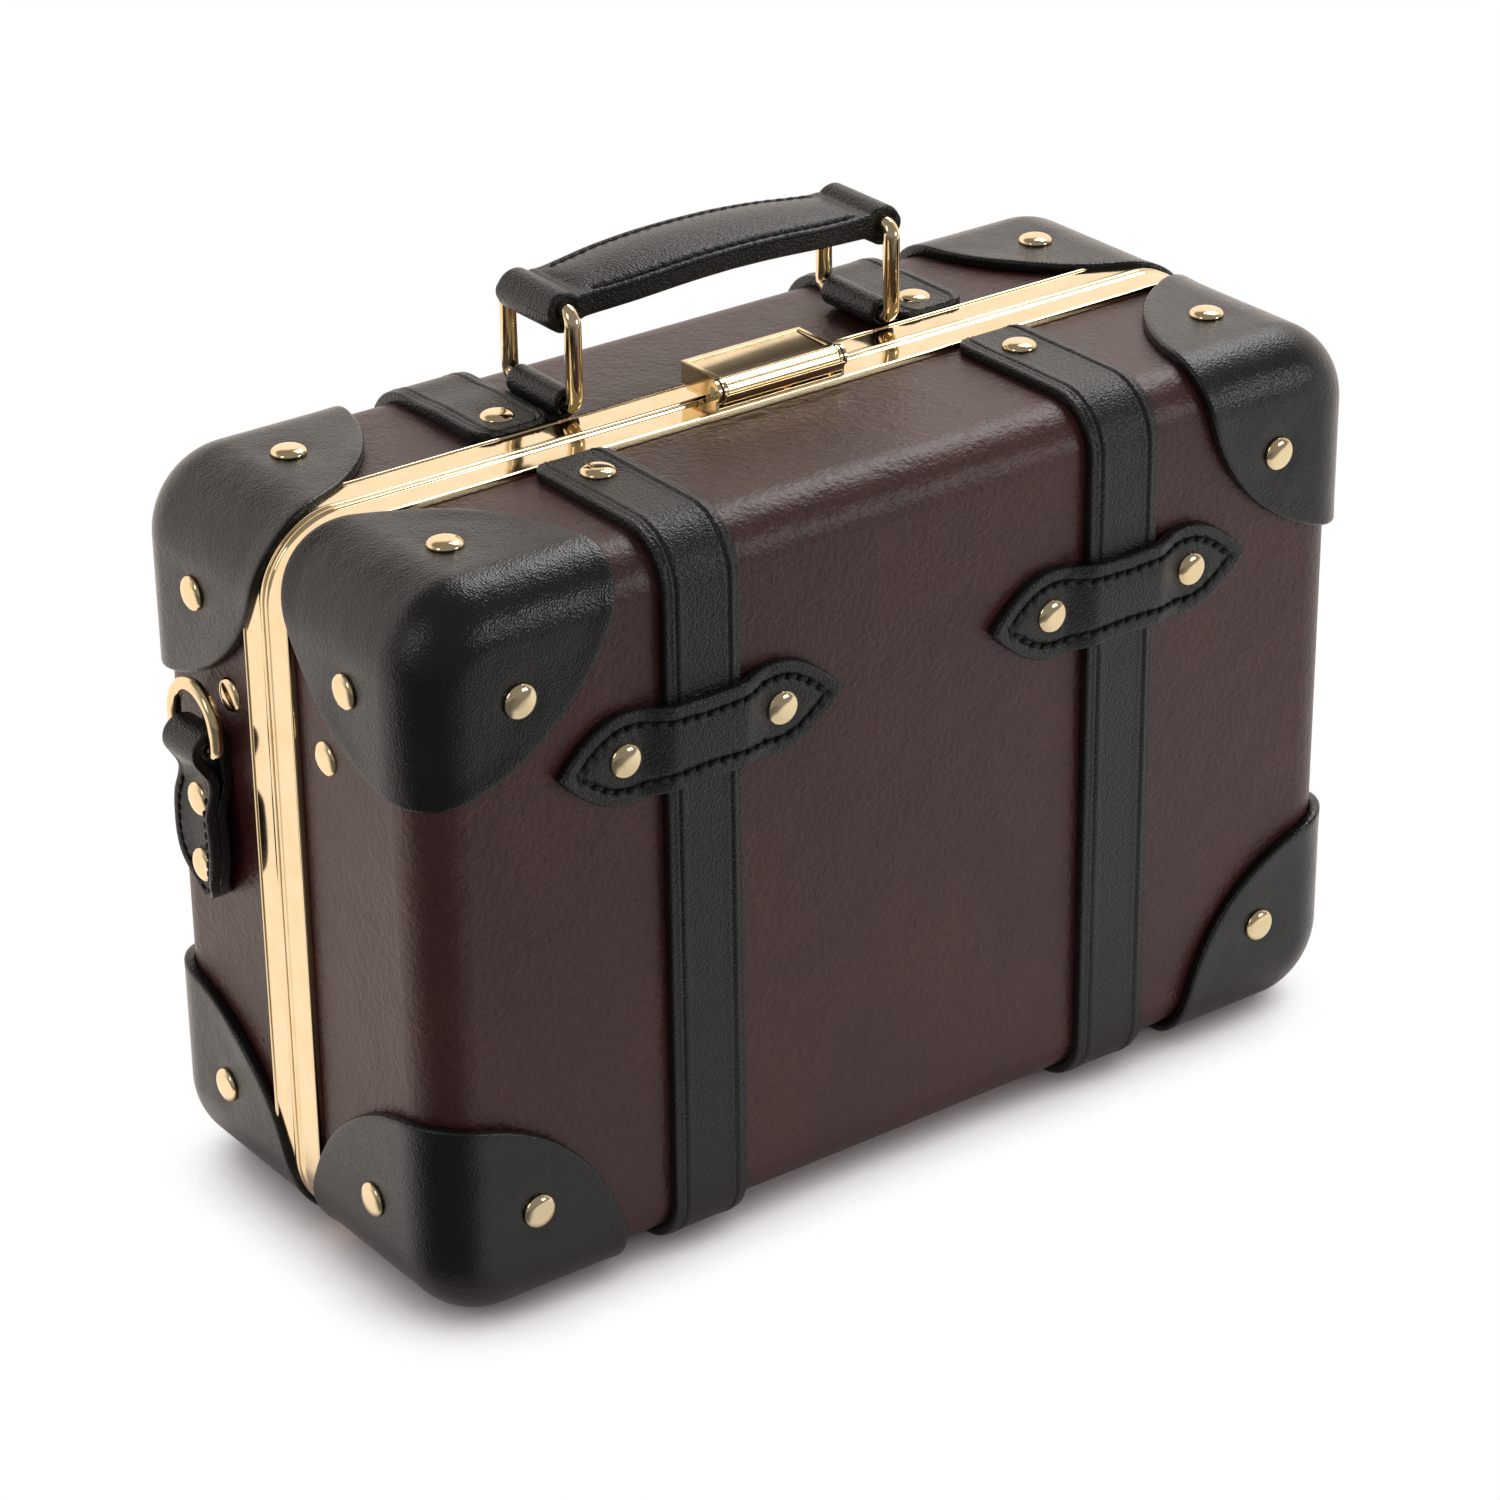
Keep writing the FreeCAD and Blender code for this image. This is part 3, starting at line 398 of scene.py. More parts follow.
def dressNodes():
    looks = {"board": "board", "lining": "lining", "gold_metal": "gold", "steel": "steel"}
    for row in frame["record"]["subparts"]:
        leather = "corner" if row["node"].startswith("corner_") else "strap"
        node = frame["nodes"][row["node"]]
        node.data.materials.clear()
        node.data.materials.append(finishes[looks.get(row["material_slot"], leather)])


dressNodes()


# The case's skin, the outside of the leather layer, given as a distance

case = {
    "half": 100.0,     # leather planes on X
    "face": 43.5,      # and on Y
    "low": 1.0,
    "high": 135.0,
    "corner": 15.0,    # radius seen from the front
    "edge": 10.5,      # radius of the edges round each face
    "leather": 2.0,
}
case["middle"] = (case["low"] + case["high"]) / 2


def skinDepth(place):
    # below zero inside
    acrossX = np.abs(place[:, 0]) - (case["half"] - case["corner"])
    acrossZ = np.abs(place[:, 2] - case["middle"]) - (case["high"] - case["middle"] - case["corner"])
    outline = np.hypot(np.maximum(acrossX, 0), np.maximum(acrossZ, 0))
    outline += np.minimum(np.maximum(acrossX, acrossZ), 0) - case["corner"] + case["edge"]
    depth = np.abs(place[:, 1]) - (case["face"] - case["edge"])
    inside = np.minimum(np.maximum(outline, depth), 0)
    return np.hypot(np.maximum(outline, 0), np.maximum(depth, 0)) + inside - case["edge"]


def skinNormal(place):
    step = 0.01
    slopes = [skinDepth(place + step * axis) - skinDepth(place - step * axis) for axis in np.eye(3)]
    normal = np.stack(slopes, 1)
    return normal / np.linalg.norm(normal, axis=1, keepdims=True)


def hitSkin(start, directions, rounds=60):
    # where rays from a point inside leave the case
    reach = np.zeros(len(directions))
    for turn in range(rounds):
        reach -= skinDepth(start + directions * reach[:, None])
    return start + directions * reach[:, None]


def bell(distance, width):
    # 1 at no distance, falling off on both sides
    return np.exp(-(distance / width) ** 2)


def dimple(place, centres, depth, reach):
    # how far leather is pulled in round rivets
    return sum(depth * bell(np.linalg.norm(place - centre, axis=1), reach) for centre in centres)


def smoothStep(value, low, high):
    share = np.clip((value - low) / (high - low), 0, 1)
    return share * share * (3 - 2 * share)


def roundOver(gap, radius):
    # how far a rounded edge has dropped, a gap in from the edge
    back = np.clip(radius - gap, 0, radius)
    return radius - np.sqrt(radius ** 2 - back ** 2)


# Lines on the flat

def curveThrough(marks, steps=12):
    # a smooth line through a few marks
    marks = np.array(marks, float)
    padded = np.vstack([2 * marks[0] - marks[1], marks, 2 * marks[-1] - marks[-2]])
    line = []
    for a, b, c, d in zip(padded, padded[1:], padded[2:], padded[3:]):
        for t in np.linspace(0, 1, steps, endpoint=False):
            line.append(0.5 * (2 * b + (c - a) * t + (2 * a - 5 * b + 4 * c - d) * t ** 2
                               + (3 * b - 3 * c + d - a) * t ** 3))
    line.append(marks[-1])
    return np.array(line)


def arc(centre, radius, start, end, steps):
    turn = np.radians(np.linspace(start, end, steps))
    return np.stack([centre[0] + radius * np.cos(turn), centre[1] + radius * np.sin(turn)], 1)


def routeLength(route):
    return np.concatenate([[0], np.cumsum(np.linalg.norm(np.diff(route, axis=0), axis=1))])


def alongRoute(route, distance, near=0.1):
    # places on a line, the normals to its left and its directions
    length = routeLength(route)
    ends = []
    for shift in (-near, 0.0, near):
        at = np.clip(distance + shift, 0, length[-1])
        ends.append(np.stack([np.interp(at, length, route[:, k]) for k in (0, 1)], 1))
    tangent = ends[2] - ends[0]
    tangent /= np.linalg.norm(tangent, axis=1, keepdims=True)
    return ends[1], np.stack([-tangent[:, 1], tangent[:, 0]], 1), tangent


def edgeDistance(place, outline):
    # how far flat points lie from a closed outline
    nearest = np.full(len(place), 1e9)
    for a, b in zip(outline, np.roll(outline, -1, axis=0)):
        line = b - a
        share = np.clip(((place - a) @ line) / max(line @ line, 1e-9), 0, 1)
        nearest = np.minimum(nearest, np.linalg.norm(place - a - share[:, None] * line, axis=1))
    return nearest


def insetLine(outline, inset, step=0.15, least=0.985):
    # the line that runs inside an outline, with the crossings at tight turns left out
    route = np.vstack([outline, outline[:1]])
    place, normal, tangent = alongRoute(route, np.arange(0, routeLength(route)[-1], step))
    inner = place + normal * inset
    return inner[edgeDistance(inner, outline) > inset * least]


def pitched(route, pitch):
    # evenly spaced stitches along a line: middles, directions and the pitch that fits
    total = routeLength(route)[-1]
    count = int(round(total / pitch))
    place, normal, tangent = alongRoute(route, (np.arange(count) + 0.5) * total / count)
    return place, tangent, total / count


# Forms: copies, and outlines drawn along a way

def scattered(form, matrices, name):
    # copies of a form, each with its own mesh, joined as one piece
    copies = []
    for matrix in matrices:
        copy = form.copy()
        copy.data = form.data.copy()
        copy.data.transform(matrix)
        bpy.context.collection.objects.link(copy)
        copies.append(copy)
    return joined(copies, name)


def facing(place, normal, along=(0.0, 0.0, 1.0)):
    # a matrix that stands a form on a surface, its X as near to along as it goes
    up = Vector(normal).normalized()
    right = Vector(along) - up * up.dot(Vector(along))
    if right.length < 1e-6:
        right = up.orthogonal()
    right.normalize()
    turn = Matrix((right, up.cross(right), up)).transposed().to_4x4()
    return Matrix.Translation(Vector(place)) @ turn


def wireLoop(name, outline):
    bpy.ops.mesh.primitive_circle_add(vertices=len(outline), radius=1, fill_type="NOTHING")
    piece = added(name)
    shape(piece, outline)
    return piece


def sweep(piece, steps, closed=False):
    # draws a wire loop along straight runs and round bends, then closes its ends
    editAll(piece)
    for step in steps:
        if "run" in step:
            stride = Vector(step["run"]) / step["cuts"]
            for cut in range(step["cuts"]):
                bpy.ops.mesh.extrude_region_move(TRANSFORM_OT_translate={"value": stride})
        else:
            bpy.ops.mesh.spin(steps=step["cuts"], angle=math.radians(-step["turn"]),
                              center=step["about"], axis=step["axis"])
    bpy.ops.mesh.select_all(action="SELECT")
    if closed:
        bpy.ops.mesh.remove_doubles(threshold=0.001)
    else:
        bpy.ops.mesh.fill_holes(sides=0)
    bpy.ops.mesh.normals_make_consistent(inside=False)
    bpy.ops.object.mode_set(mode="OBJECT")


# Leather corners: the part of the skin inside a ball, moulded 2 mm thick

corners = {
    "ball": 38.4,
    "ballFace": 40.4,     # the ball's centre from the middle of the case
    "core": 30.0,         # spokes are cast from this far inside it on each axis
    "spokes": 132,
    "castTo": (105, 260),   # degrees from the corner's own axis, and steps on the way
    "rings": 40,
    "rimTurns": [22, 45, 68, 90],
    "inner": 8,           # rings of the inside
    "round": 0.6,         # of the cut edge
    "innerRound": 0.25,
    "wallLean": 0.02,
    "rivet": 20.0,        # rivets from the leather planes
    "dimple": (0.4, 3.8),   # depth and reach
    "lift": (0.3, 5.0),   # of the edge, here and there, and how far in it starts
    "waves": (5, 0.8),    # of that lift round the edge, and the turn of the first
    "cut": {              # where a ball was set a little off when its corner was cut
        "front_top_left": (2.0, 0.0, 2.6),
        "front_top_right": (1.4, 0.0, 0.0),
        "front_bottom_left": (0.0, 0.0, 1.8),
    },
}


def cornerRivets(signX, signY, top):
    # places and normals of the three rivets of a corner
    plane, up = (case["high"], 1) if top else (case["low"], -1)
    level = plane - up * corners["rivet"]
    x = signX * (case["half"] - corners["rivet"])
    y = signY * (case["face"] - corners["rivet"])
    return [
        ((x, y, plane), (0, 0, up)),
        ((signX * case["half"], y, level), (signX, 0, 0)),
        ((x, signY * case["face"], level), (0, signY, 0)),
    ]


def cornerSpokes(nudge):
    # for the front top left corner: the skin along spokes from its middle to its cut edge
    ball = np.array([-case["half"], -corners["ballFace"], case["high"]])
    start = ball + np.array([1, 1, -1]) * corners["core"]
    ball = ball + np.array(nudge)
    axis = np.array([-1.0, -1.0, 1.0]) / math.sqrt(3)
    side = np.array([1.0, -1.0, 0.0]) / math.sqrt(2)
    other = np.cross(axis, side)
    most, steps = corners["castTo"]
    lean = np.linspace(0, math.radians(most), steps)[:, None]
    spokes = []
    for turn in np.linspace(0, 2 * math.pi, corners["spokes"], endpoint=False):
        outward = side * math.cos(turn) + other * math.sin(turn)
        run = hitSkin(start, axis * np.cos(lean) + outward * np.sin(lean))
        past = np.linalg.norm(run - ball, axis=1) - corners["ball"]
        last = np.argmax(past > 0)
        share = past[last - 1] / (past[last - 1] - past[last])
        edge = run[last - 1] + (run[last] - run[last - 1]) * share
        run = np.vstack([run[:last], edge])
        spokes.append((routeLength(run), run))
    return spokes


def cornerForm(nudge):
    # a ball whose upper rings become the outside and the cut edge, and whose lower rings the inside
    rim = [(math.sin(a) - 1, math.cos(a) - 1) for a in np.radians(corners["rimTurns"])]
    lastRim = corners["rings"] + len(rim)
    ringCount = lastRim + 2 + corners["inner"]
    bpy.ops.mesh.primitive_uv_sphere_add(segments=corners["spokes"], ring_count=ringCount)
    piece = added("cornerForm")
    ball = points(piece)
    ring = np.rint(np.arccos(np.clip(ball[:, 2], -1, 1)) / math.pi * ringCount).astype(int)
    spoke = np.rint(np.arctan2(ball[:, 1], ball[:, 0]) / (2 * math.pi) * corners["spokes"]).astype(int)
    spokes = cornerSpokes(nudge)
    place = np.zeros_like(ball)
    height = np.zeros(len(ball))
    edgeGap = np.zeros(len(ball))
    for index, step in enumerate(ring):
        length, run = spokes[spoke[index] % corners["spokes"]]
        full = length[-1]
        if step <= corners["rings"]:
            reach = (full - corners["round"]) * step / corners["rings"]
        elif step <= lastRim:
            back, drop = rim[step - corners["rings"] - 1]
            reach = full + back * corners["round"]
            height[index] = drop * corners["round"]
        elif step == lastRim + 1:
            reach = full - corners["wallLean"]
            height[index] = corners["innerRound"] - case["leather"]
        else:
            share = (step - lastRim - 2) / corners["inner"]
            reach = (full - corners["innerRound"]) * (1 - share)
            height[index] = -case["leather"]
        place[index] = [np.interp(reach, length, run[:, axis]) for axis in range(3)]
        edgeGap[index] = full - reach
    rivetSpots = [spot for spot, normal in cornerRivets(-1, -1, True)]
    height -= (ring <= lastRim) * dimple(place, rivetSpots, *corners["dimple"])
    lift, liftFrom = corners["lift"]
    count, first = corners["waves"]
    wave = 0.5 + 0.5 * np.sin(spoke / corners["spokes"] * 2 * math.pi * count + first)
    height += lift * wave * (1 - smoothStep(edgeGap, 0, liftFrom))
    shape(piece, place + skinNormal(place) * height[:, None])
    return piece


def buildCorner(signX, signY, up, spot):
    right, rear, rise = corners["cut"].get(spot, (0.0, 0.0, 0.0))
    piece = cornerForm((-signX * right, rear, up * rise))
    piece.name = camel(f"corner_{spot}")
    place = points(piece) - (0, 0, case["middle"])
    shape(piece, place * (-signX, -signY, up) + (0, 0, case["middle"]))
    tidyMesh(piece, 50)
    settle(piece, "corner", f"{spot.split('_')[0]}_half", f"corner_{spot}")


for signY, half in halves:
    for up, level in ((1, "top"), (-1, "bottom")):
        for signX, side in sides:
            buildCorner(signX, signY, up, f"{half}_{level}_{side}")
print("corners moulded")


# Straps: creased leather from the band's edge, over the face and under the case

straps = {
    "place": 44.5,
    "half": 7.5,
    "thick": 2.0,
    "starts": {"front": -6.15, "rear": 8.85},    # beside the bands
    "endRound": {"front": 2.6, "rear": 3.0},
    "rivets": {"front": -14.85, "rear": 14.65},
    "dimple": (0.35, 3.6),
    "round": 0.45,        # of the long edges
    "crease": (2.3, 0.23, 0.22),   # from the edge, depth and width
    "ridges": [(-0.65, 0.16, 0.32), (0.65, 0.1, 0.35)],   # from the crease, height and width
    "gaps": [0.0, 0.05, 0.16, 0.33, 0.55, 0.85, 1.2, 1.5, 1.75, 1.95, 2.1, 2.22, 2.35, 2.5, 2.7, 3.0, 3.6,
             4.4, 5.3, 6.4],       # points across from each edge, close where it rounds and at the crease
    "under": [(0.0, -1.1), (0.02, -1.6), (0.2, -2.0), (4.0, -2.0)],   # from the edge, and down
    "ends": [(0.6, 5), (2.4, 7)],   # finely cut lengths at each end, and their cuts
    "cuts": (30, 60, 16),     # of the rest of the top, of the face and of the rest below
    "bendCuts": 16,
    "outer": (-1.7, -0.6),    # depths below the skin where the inside passes to the outside
    "tail": (9.6, 24.4),  # the handle tabs' tails under the rear straps
    "tailEase": (-5, 3, -2, 6),
    "tailLift": 0.45,
}


def strapSection():
    half = straps["half"]
    gap = np.array(straps["gaps"] + [half] + straps["gaps"][::-1])
    sign = np.repeat([-1, 0, 1], [len(straps["gaps"]), 1, len(straps["gaps"])])
    crease, depth, width = straps["crease"]
    height = -roundOver(gap, straps["round"]) - depth * bell(gap - crease, width)
    for shift, rise, width in straps["ridges"]:
        height += rise * bell(gap - crease - shift, width)
    top = list(zip(sign * (half - gap), height))
    right = [(half - inset, down) for inset, down in straps["under"]]
    return top + right + [(0, -straps["thick"])] + [(-x, down) for x, down in right[::-1]]


def strapForm(sign, half):
    start = straps["starts"][half]
    bend = case["face"] - case["edge"]
    high = case["high"] - case["edge"]
    low = case["low"] + case["edge"]
    piece = wireLoop("strapForm", [(x, start, case["high"] + rise) for x, rise in strapSection()])
    rest = sign * bend - start - sign * sum(length for length, cuts in straps["ends"])
    topCuts, faceCuts, lowCuts = straps["cuts"]
    turn = {"turn": 90, "axis": (-sign, 0, 0), "cuts": straps["bendCuts"]}
    sweep(piece, [
        *({"run": (0, sign * length, 0), "cuts": cuts} for length, cuts in straps["ends"]),
        {"run": (0, rest, 0), "cuts": topCuts},
        {**turn, "about": (0, sign * bend, high)},
        {"run": (0, 0, low - high), "cuts": faceCuts},
        {**turn, "about": (0, sign * bend, low)},
        {"run": (0, -rest, 0), "cuts": lowCuts},
        *({"run": (0, -sign * length, 0), "cuts": cuts} for length, cuts in straps["ends"][::-1]),
    ])
    place = points(piece)
    ends = np.where(np.abs(place[:, 1]) < bend, sign * (place[:, 1] - start), np.inf)
    narrow = 1 - roundOver(ends, straps["endRound"][half]) / straps["half"]
    place[:, 0] *= narrow
    outer = smoothStep(skinDepth(place), *straps["outer"])
    rivet = np.array([0, straps["rivets"][half], case["high"]])
    change = -outer * (dimple(place, [rivet], *straps["dimple"]) + roundOver(ends, straps["round"]))
    if half == "rear":
        (first, last), ease = straps["tail"], straps["tailEase"]
        over = smoothStep(place[:, 1], first + ease[0], first + ease[1])
        over *= 1 - smoothStep(place[:, 1], last + ease[2], last + ease[3])
        change += straps["tailLift"] * over * outer * (place[:, 2] > case["middle"])
    shape(piece, place + skinNormal(place) * change[:, None])
    return piece


def buildStraps(sign, half):
    form = strapForm(sign, half)
    for signX, side in sides:
        node = f"strap_{half}_{side}"
        piece = scattered(form, [Matrix.Translation((signX * straps["place"], 0, 0))], camel(node))
        smooth(piece, 40)
        settle(piece, "strap", f"{half}_half", node)
    bpy.data.objects.remove(form)


for sign, half in halves:
    buildStraps(sign, half)
print("straps laid")


# Strips of leather and their stitches

thread = {
    "sides": 10,
    "rings": 12,
    "sink": 0.3,     # its ends are drawn into the leather
    "slant": 12,     # and it lies a little across its seam, in degrees
}


def strip(name, length, kind, near=0.01):
    # a straight strip along X: Y runs from -1 to 1 over its width and Z from -thick to 0
    gaps, thick = kind["gaps"], kind["thick"]
    rows = kind.get("sideRows", (0.3, 0.6, 0.9))
    outline = [(0, g - 1, 0) for g in gaps] + [(0, 0, 0)] + [(0, 1 - g, 0) for g in gaps[::-1]]
    outline += [(0, 1, -thick * row) for row in rows]
    outline += [(0, y, -thick) for y in (0.96, 0.6, 0.2, -0.2, -0.6, -0.96)]
    outline += [(0, -1, -thick * row) for row in rows[::-1]]
    piece = wireLoop(name, outline)
    sweep(piece, [{"run": (length, 0, 0), "cuts": kind["cuts"]}])
    bar = points(piece)
    upper = bar[:, 2] > -near
    lower = bar[:, 2] < near - thick
    return piece, bar, upper, lower


def slopeOf(rise, x, near=0.2):
    return (rise(x + near) - rise(x - near)) / (2 * near)


def threadForm(length, radius):
    # one stitch, as a ball drawn long and blunt
    bpy.ops.mesh.primitive_uv_sphere_add(segments=thread["sides"], ring_count=thread["rings"], radius=1)
    form = added("threadForm")
    ball = points(form)
    run = ball[:, 2]
    ballWide = np.sqrt(np.clip(1 - run ** 2, 0, 1))
    fat = radius * np.sqrt(np.clip(1 - run ** 4, 0, 1)) / np.maximum(ballWide, 1e-3)
    x = run * length / 2
    y = ball[:, 0] * fat + x * math.tan(math.radians(thread["slant"]))
    z = ball[:, 1] * fat - thread["sink"] * run ** 4
    shape(form, np.stack([x, y, z], 1))
    smooth(form, 80)
    return form


def sew(name, matrices, pitch, kind, body):
    share, radius = kind["thread"]
    form = threadForm(pitch * share, radius)
    piece = scattered(form, matrices, name)
    bpy.data.objects.remove(form)
    tidyMesh(piece, 80)
    settle(piece, "thread", body)


def seamGroove(edge, kind):
    # how far leather is pressed in along a seam
    depth, width = kind["groove"]
    return depth * bell(edge - kind["seam"], width)


def shadeAndSinkHoles(piece, place, holes, kind):
    # paints shade into the leather at the holes of a seam, and gives how far it is pulled in there
    depth, reach = kind["hole"]
    close = np.full(len(place), 1e9)
    for hole in holes:
        close = np.minimum(close, np.linalg.norm(place - hole, axis=1))
    shade = bell(close, reach)
    # the painted shade of the holes is kept in the "seam" attribute
    layer = piece.data.attributes.new("seam", "FLOAT", "POINT")
    layer.data.foreach_set("value", shade.astype(np.float32))
    return depth * shade


# Keepers: pointed, stitched strips over the straps

keepers = {
    "level": 98.4,
    "marks": [(28.6, 0), (25.9, 2.9), (22.6, 5.6), (18.9, 7.6), (14.6, 8.3), (7.5, 7.6), (0, 7.25)],
    "half": 28.6,
    "thick": 2.0,
    "cuts": 150,
    "gaps": [0, 0.012, 0.035, 0.07, 0.11, 0.15, 0.19, 0.23, 0.26, 0.29, 0.32, 0.35, 0.38, 0.42, 0.48, 0.55,
             0.64, 0.75, 0.88],    # points across from each edge, as shares of half the width
    "hump": 2.0,           # they climb over the strap
    "humpEnds": (6.6, 13.2),
    "round": 0.65,
    "underRound": 0.3,
    "crown": (0.18, 5.5),  # rise inside the seam, full this far from the edge
    "tipCurl": (0.25, 22.0),   # off the board, from this far out
    "rivets": 15.7,
    "dimple": (0.35, 3.6),     # depth and reach, and so below
    "seam": 2.75,
    "groove": (0.22, 0.45),
    "hole": (0.5, 0.62),
    "pitch": 2.5,
    "thread": (0.8, 0.4),  # length as a share of the pitch, and radius
    "threadSink": 0.06,
}


def keeperRise(x):
    return keepers["hump"] * (1 - smoothStep(np.abs(x), *keepers["humpEnds"]))


def keeperForm():
    quarter = curveThrough(keepers["marks"])
    upperEdge = np.vstack([quarter, (quarter * [-1, 1])[-2::-1]])
    outline = np.vstack([upperEdge, (upperEdge * [1, -1])[-2:0:-1]])
    form, bar, upper, lower = strip("keeperForm", 2 * keepers["half"], keepers)
    x = bar[:, 0] - keepers["half"]
    z = bar[:, 1] * np.interp(np.abs(x), *quarter[::-1].T)
    flat = np.stack([x, z], 1)
    edge = edgeDistance(flat, outline)
    seam = insetLine(outline, keepers["seam"])
    middles, tangents, pitch = pitched(np.vstack([seam, seam[:1]]), keepers["pitch"])
    crown, crownFrom = keepers["crown"]
    drop = roundOver(edge, keepers["round"]) + seamGroove(edge, keepers)
    drop += shadeAndSinkHoles(form, flat, middles + tangents * pitch / 2, keepers)
    drop -= crown * smoothStep(edge, keepers["seam"], crownFrom)
    drop += dimple(flat, [(-keepers["rivets"], 0), (keepers["rivets"], 0)], *keepers["dimple"])
    curl, curlFrom = keepers["tipCurl"]
    height = bar[:, 2] - upper * drop + lower * roundOver(edge, keepers["underRound"])
    height += curl * smoothStep(np.abs(x), curlFrom, keepers["half"])
    shape(form, np.stack([x, -height - keeperRise(x), z], 1))
    tidyMesh(form, 45)
    threads = []
    for (seamX, seamZ), (runX, runZ) in zip(middles, tangents):
        slope = slopeOf(keeperRise, seamX)
        spot = (seamX, keepers["threadSink"] - keeperRise(seamX), seamZ)
        threads.append(facing(spot, (-slope, -1, 0), (runX, -slope * runX, runZ)))
    return form, threads, pitch


def buildKeepers():
    form, threads, pitch = keeperForm()
    for sign, half in halves:
        turn = Matrix.Rotation(math.pi if half == "rear" else 0, 4, "Z")
        for signX, side in sides:
            node = f"keeper_{half}_{side}"
            place = (signX * straps["place"], sign * case["face"], keepers["level"])
            spot = Matrix.Translation(place) @ turn
            settle(scattered(form, [spot], camel(node)), "strap", f"{half}_half", node)
            matrices = [spot @ stitch for stitch in threads]
            sew(camel(node) + "Thread", matrices, pitch, keepers, f"{half}_half")
    bpy.data.objects.remove(form)


buildKeepers()
print("keepers sewn")


# Rivets: turned heads, flatter in the middle than at the rim

rivets = {
    "radius": 3.1,
    "rise": 1.1,
    "collar": [(2.6, -0.5), (2.95, -0.3)],    # radius and height, down in the leather
    "turns": [0, 12, 26, 40, 53, 64, 74, 82],
    "bulge": (0.75, 0.95),
    "nib": 0.25,
    "sides": 44,
    "footFlat": 1.9,       # the case stands on four flat heads
    "footRise": 1.0,
    "stay": {"x": 98.0, "z": 98.6, "y": {"front": -13.4, "rear": 16.4}},
    "tab": {"x": 102.0, "y": 22.5, "z": (65.5, 78.0)},
}


def turned(name, profile):
    # a form turned on the Z axis from steps of radius and height, drawn ring by ring
    radius, height = profile[0]
    bpy.ops.mesh.primitive_circle_add(vertices=rivets["sides"], radius=radius, fill_type="NGON")
    form = added(name)
    form.data.transform(Matrix.Translation((0, 0, height)))
    editAll(form)
    for before, after in zip(profile, profile[1:]):
        bpy.ops.mesh.extrude_region_move(TRANSFORM_OT_translate={"value": (0, 0, after[1] - before[1])})
        size = after[0] / before[0]
        bpy.ops.transform.resize(value=(size, size, 1))
    bpy.ops.object.mode_set(mode="OBJECT")
    tidyMesh(form, 60)
    return form


def rivetProfile(rise, flat):
    steps = list(rivets["collar"])
    for turn in np.radians(rivets["turns"]):
        radius = flat + (rivets["radius"] - flat) * math.cos(turn) ** rivets["bulge"][0]
        steps.append((radius, rise * math.sin(turn) ** rivets["bulge"][1]))
    return steps + [(max(flat, rivets["nib"]), rise)]


def rivetPlaces():
    # places and normals of the heads of each CAD node
    groups = {}
    stay, tab = rivets["stay"], rivets["tab"]
    for sign, half in halves:
        corner, foot, strap, keeper, stays = [], [], [], [], []
        for signX, side in sides:
            low = cornerRivets(signX, sign, False)
            corner += cornerRivets(signX, sign, True) + low[1:]
            foot.append(low[0])
            x = signX * straps["place"]
            strap.append(((x, straps["rivets"][half], case["high"]), (0, 0, 1)))
            for shift in (-keepers["rivets"], keepers["rivets"]):
                keeper.append(((x + shift, sign * case["face"], keepers["level"]), (0, sign, 0)))
            stays.append(((signX * stay["x"], stay["y"][half], stay["z"]), (signX, 0, 0)))
        found = {"corner": corner, "foot": foot, "strap": strap, "keeper": keeper, "stay": stays}
        groups.update({f"{kind}_rivets_{half}": places for kind, places in found.items()})
    groups["ring_tab_rivets"] = [((signX * tab["x"], tab["y"], z), (signX, 0, 0))
                                 for signX, side in sides for z in tab["z"]]
    return groups


def buildRivets():
    head = turned("rivetForm", rivetProfile(rivets["rise"], 0.0))
    foot = turned("footForm", rivetProfile(rivets["footRise"], rivets["footFlat"]))
    for node, places in rivetPlaces().items():
        form = foot if node.startswith("foot") else head
        body = "front_half" if node.endswith("front") else "rear_half"
        piece = scattered(form, [facing(place, normal) for place, normal in places], camel(node))
        smooth(piece, 60)
        settle(piece, "gold", body, node)
    bpy.data.objects.remove(head)
    bpy.data.objects.remove(foot)


buildRivets()
print("rivets set")


# Metal bands: a folded section with a bead at the split and a rolled lip, drawn round the case

bands = {
    "edge": {"front": (1.35, -5.65), "rear": (1.65, 8.65)},    # at the split and at the far side
    # outline as a distance from the split, or from the far side, and an inset from the leather planes
    "face": [(0.0, 0.95), (0.06, 0.82), (0.2, 0.74), (0.4, 0.7), (0.62, 0.7), (0.84, 0.75), (1.02, 0.84),
             (1.18, 0.95), (1.34, 1.0), (1.6, 1.0), (3.2, 0.97), (4.8, 0.97)],
    "lip": [(0.62, 1.0), (0.56, 0.87), (0.42, 0.76), (0.24, 0.72), (0.08, 0.79), (0.0, 0.95), (0.0, 1.9),
            (0.1, 2.0)],
    "groove": [(1.0, 2.0), (1.0, 4.0)],    # where the board's edge sits
    "foot": [(0.1, 4.0), (0.0, 4.1), (0.0, 4.7), (0.1, 4.8)],
    "back": [(0.25, 4.8), (0.0, 4.6)],
    "bendCuts": 28,
    "hinge": {"place": 62.0, "half": 9.3, "y": 1.5, "z": 1.5, "reach": 1.35},
}


def bandSection():
    # distance from the split and inset, once round
    near, far = bands["edge"]["front"]
    wide = near - far
    lip, foot = ([(wide - back, inset) for back, inset in bands[part]] for part in ("lip", "foot"))
    return bands["face"] + lip + bands["groove"] + foot + bands["back"]


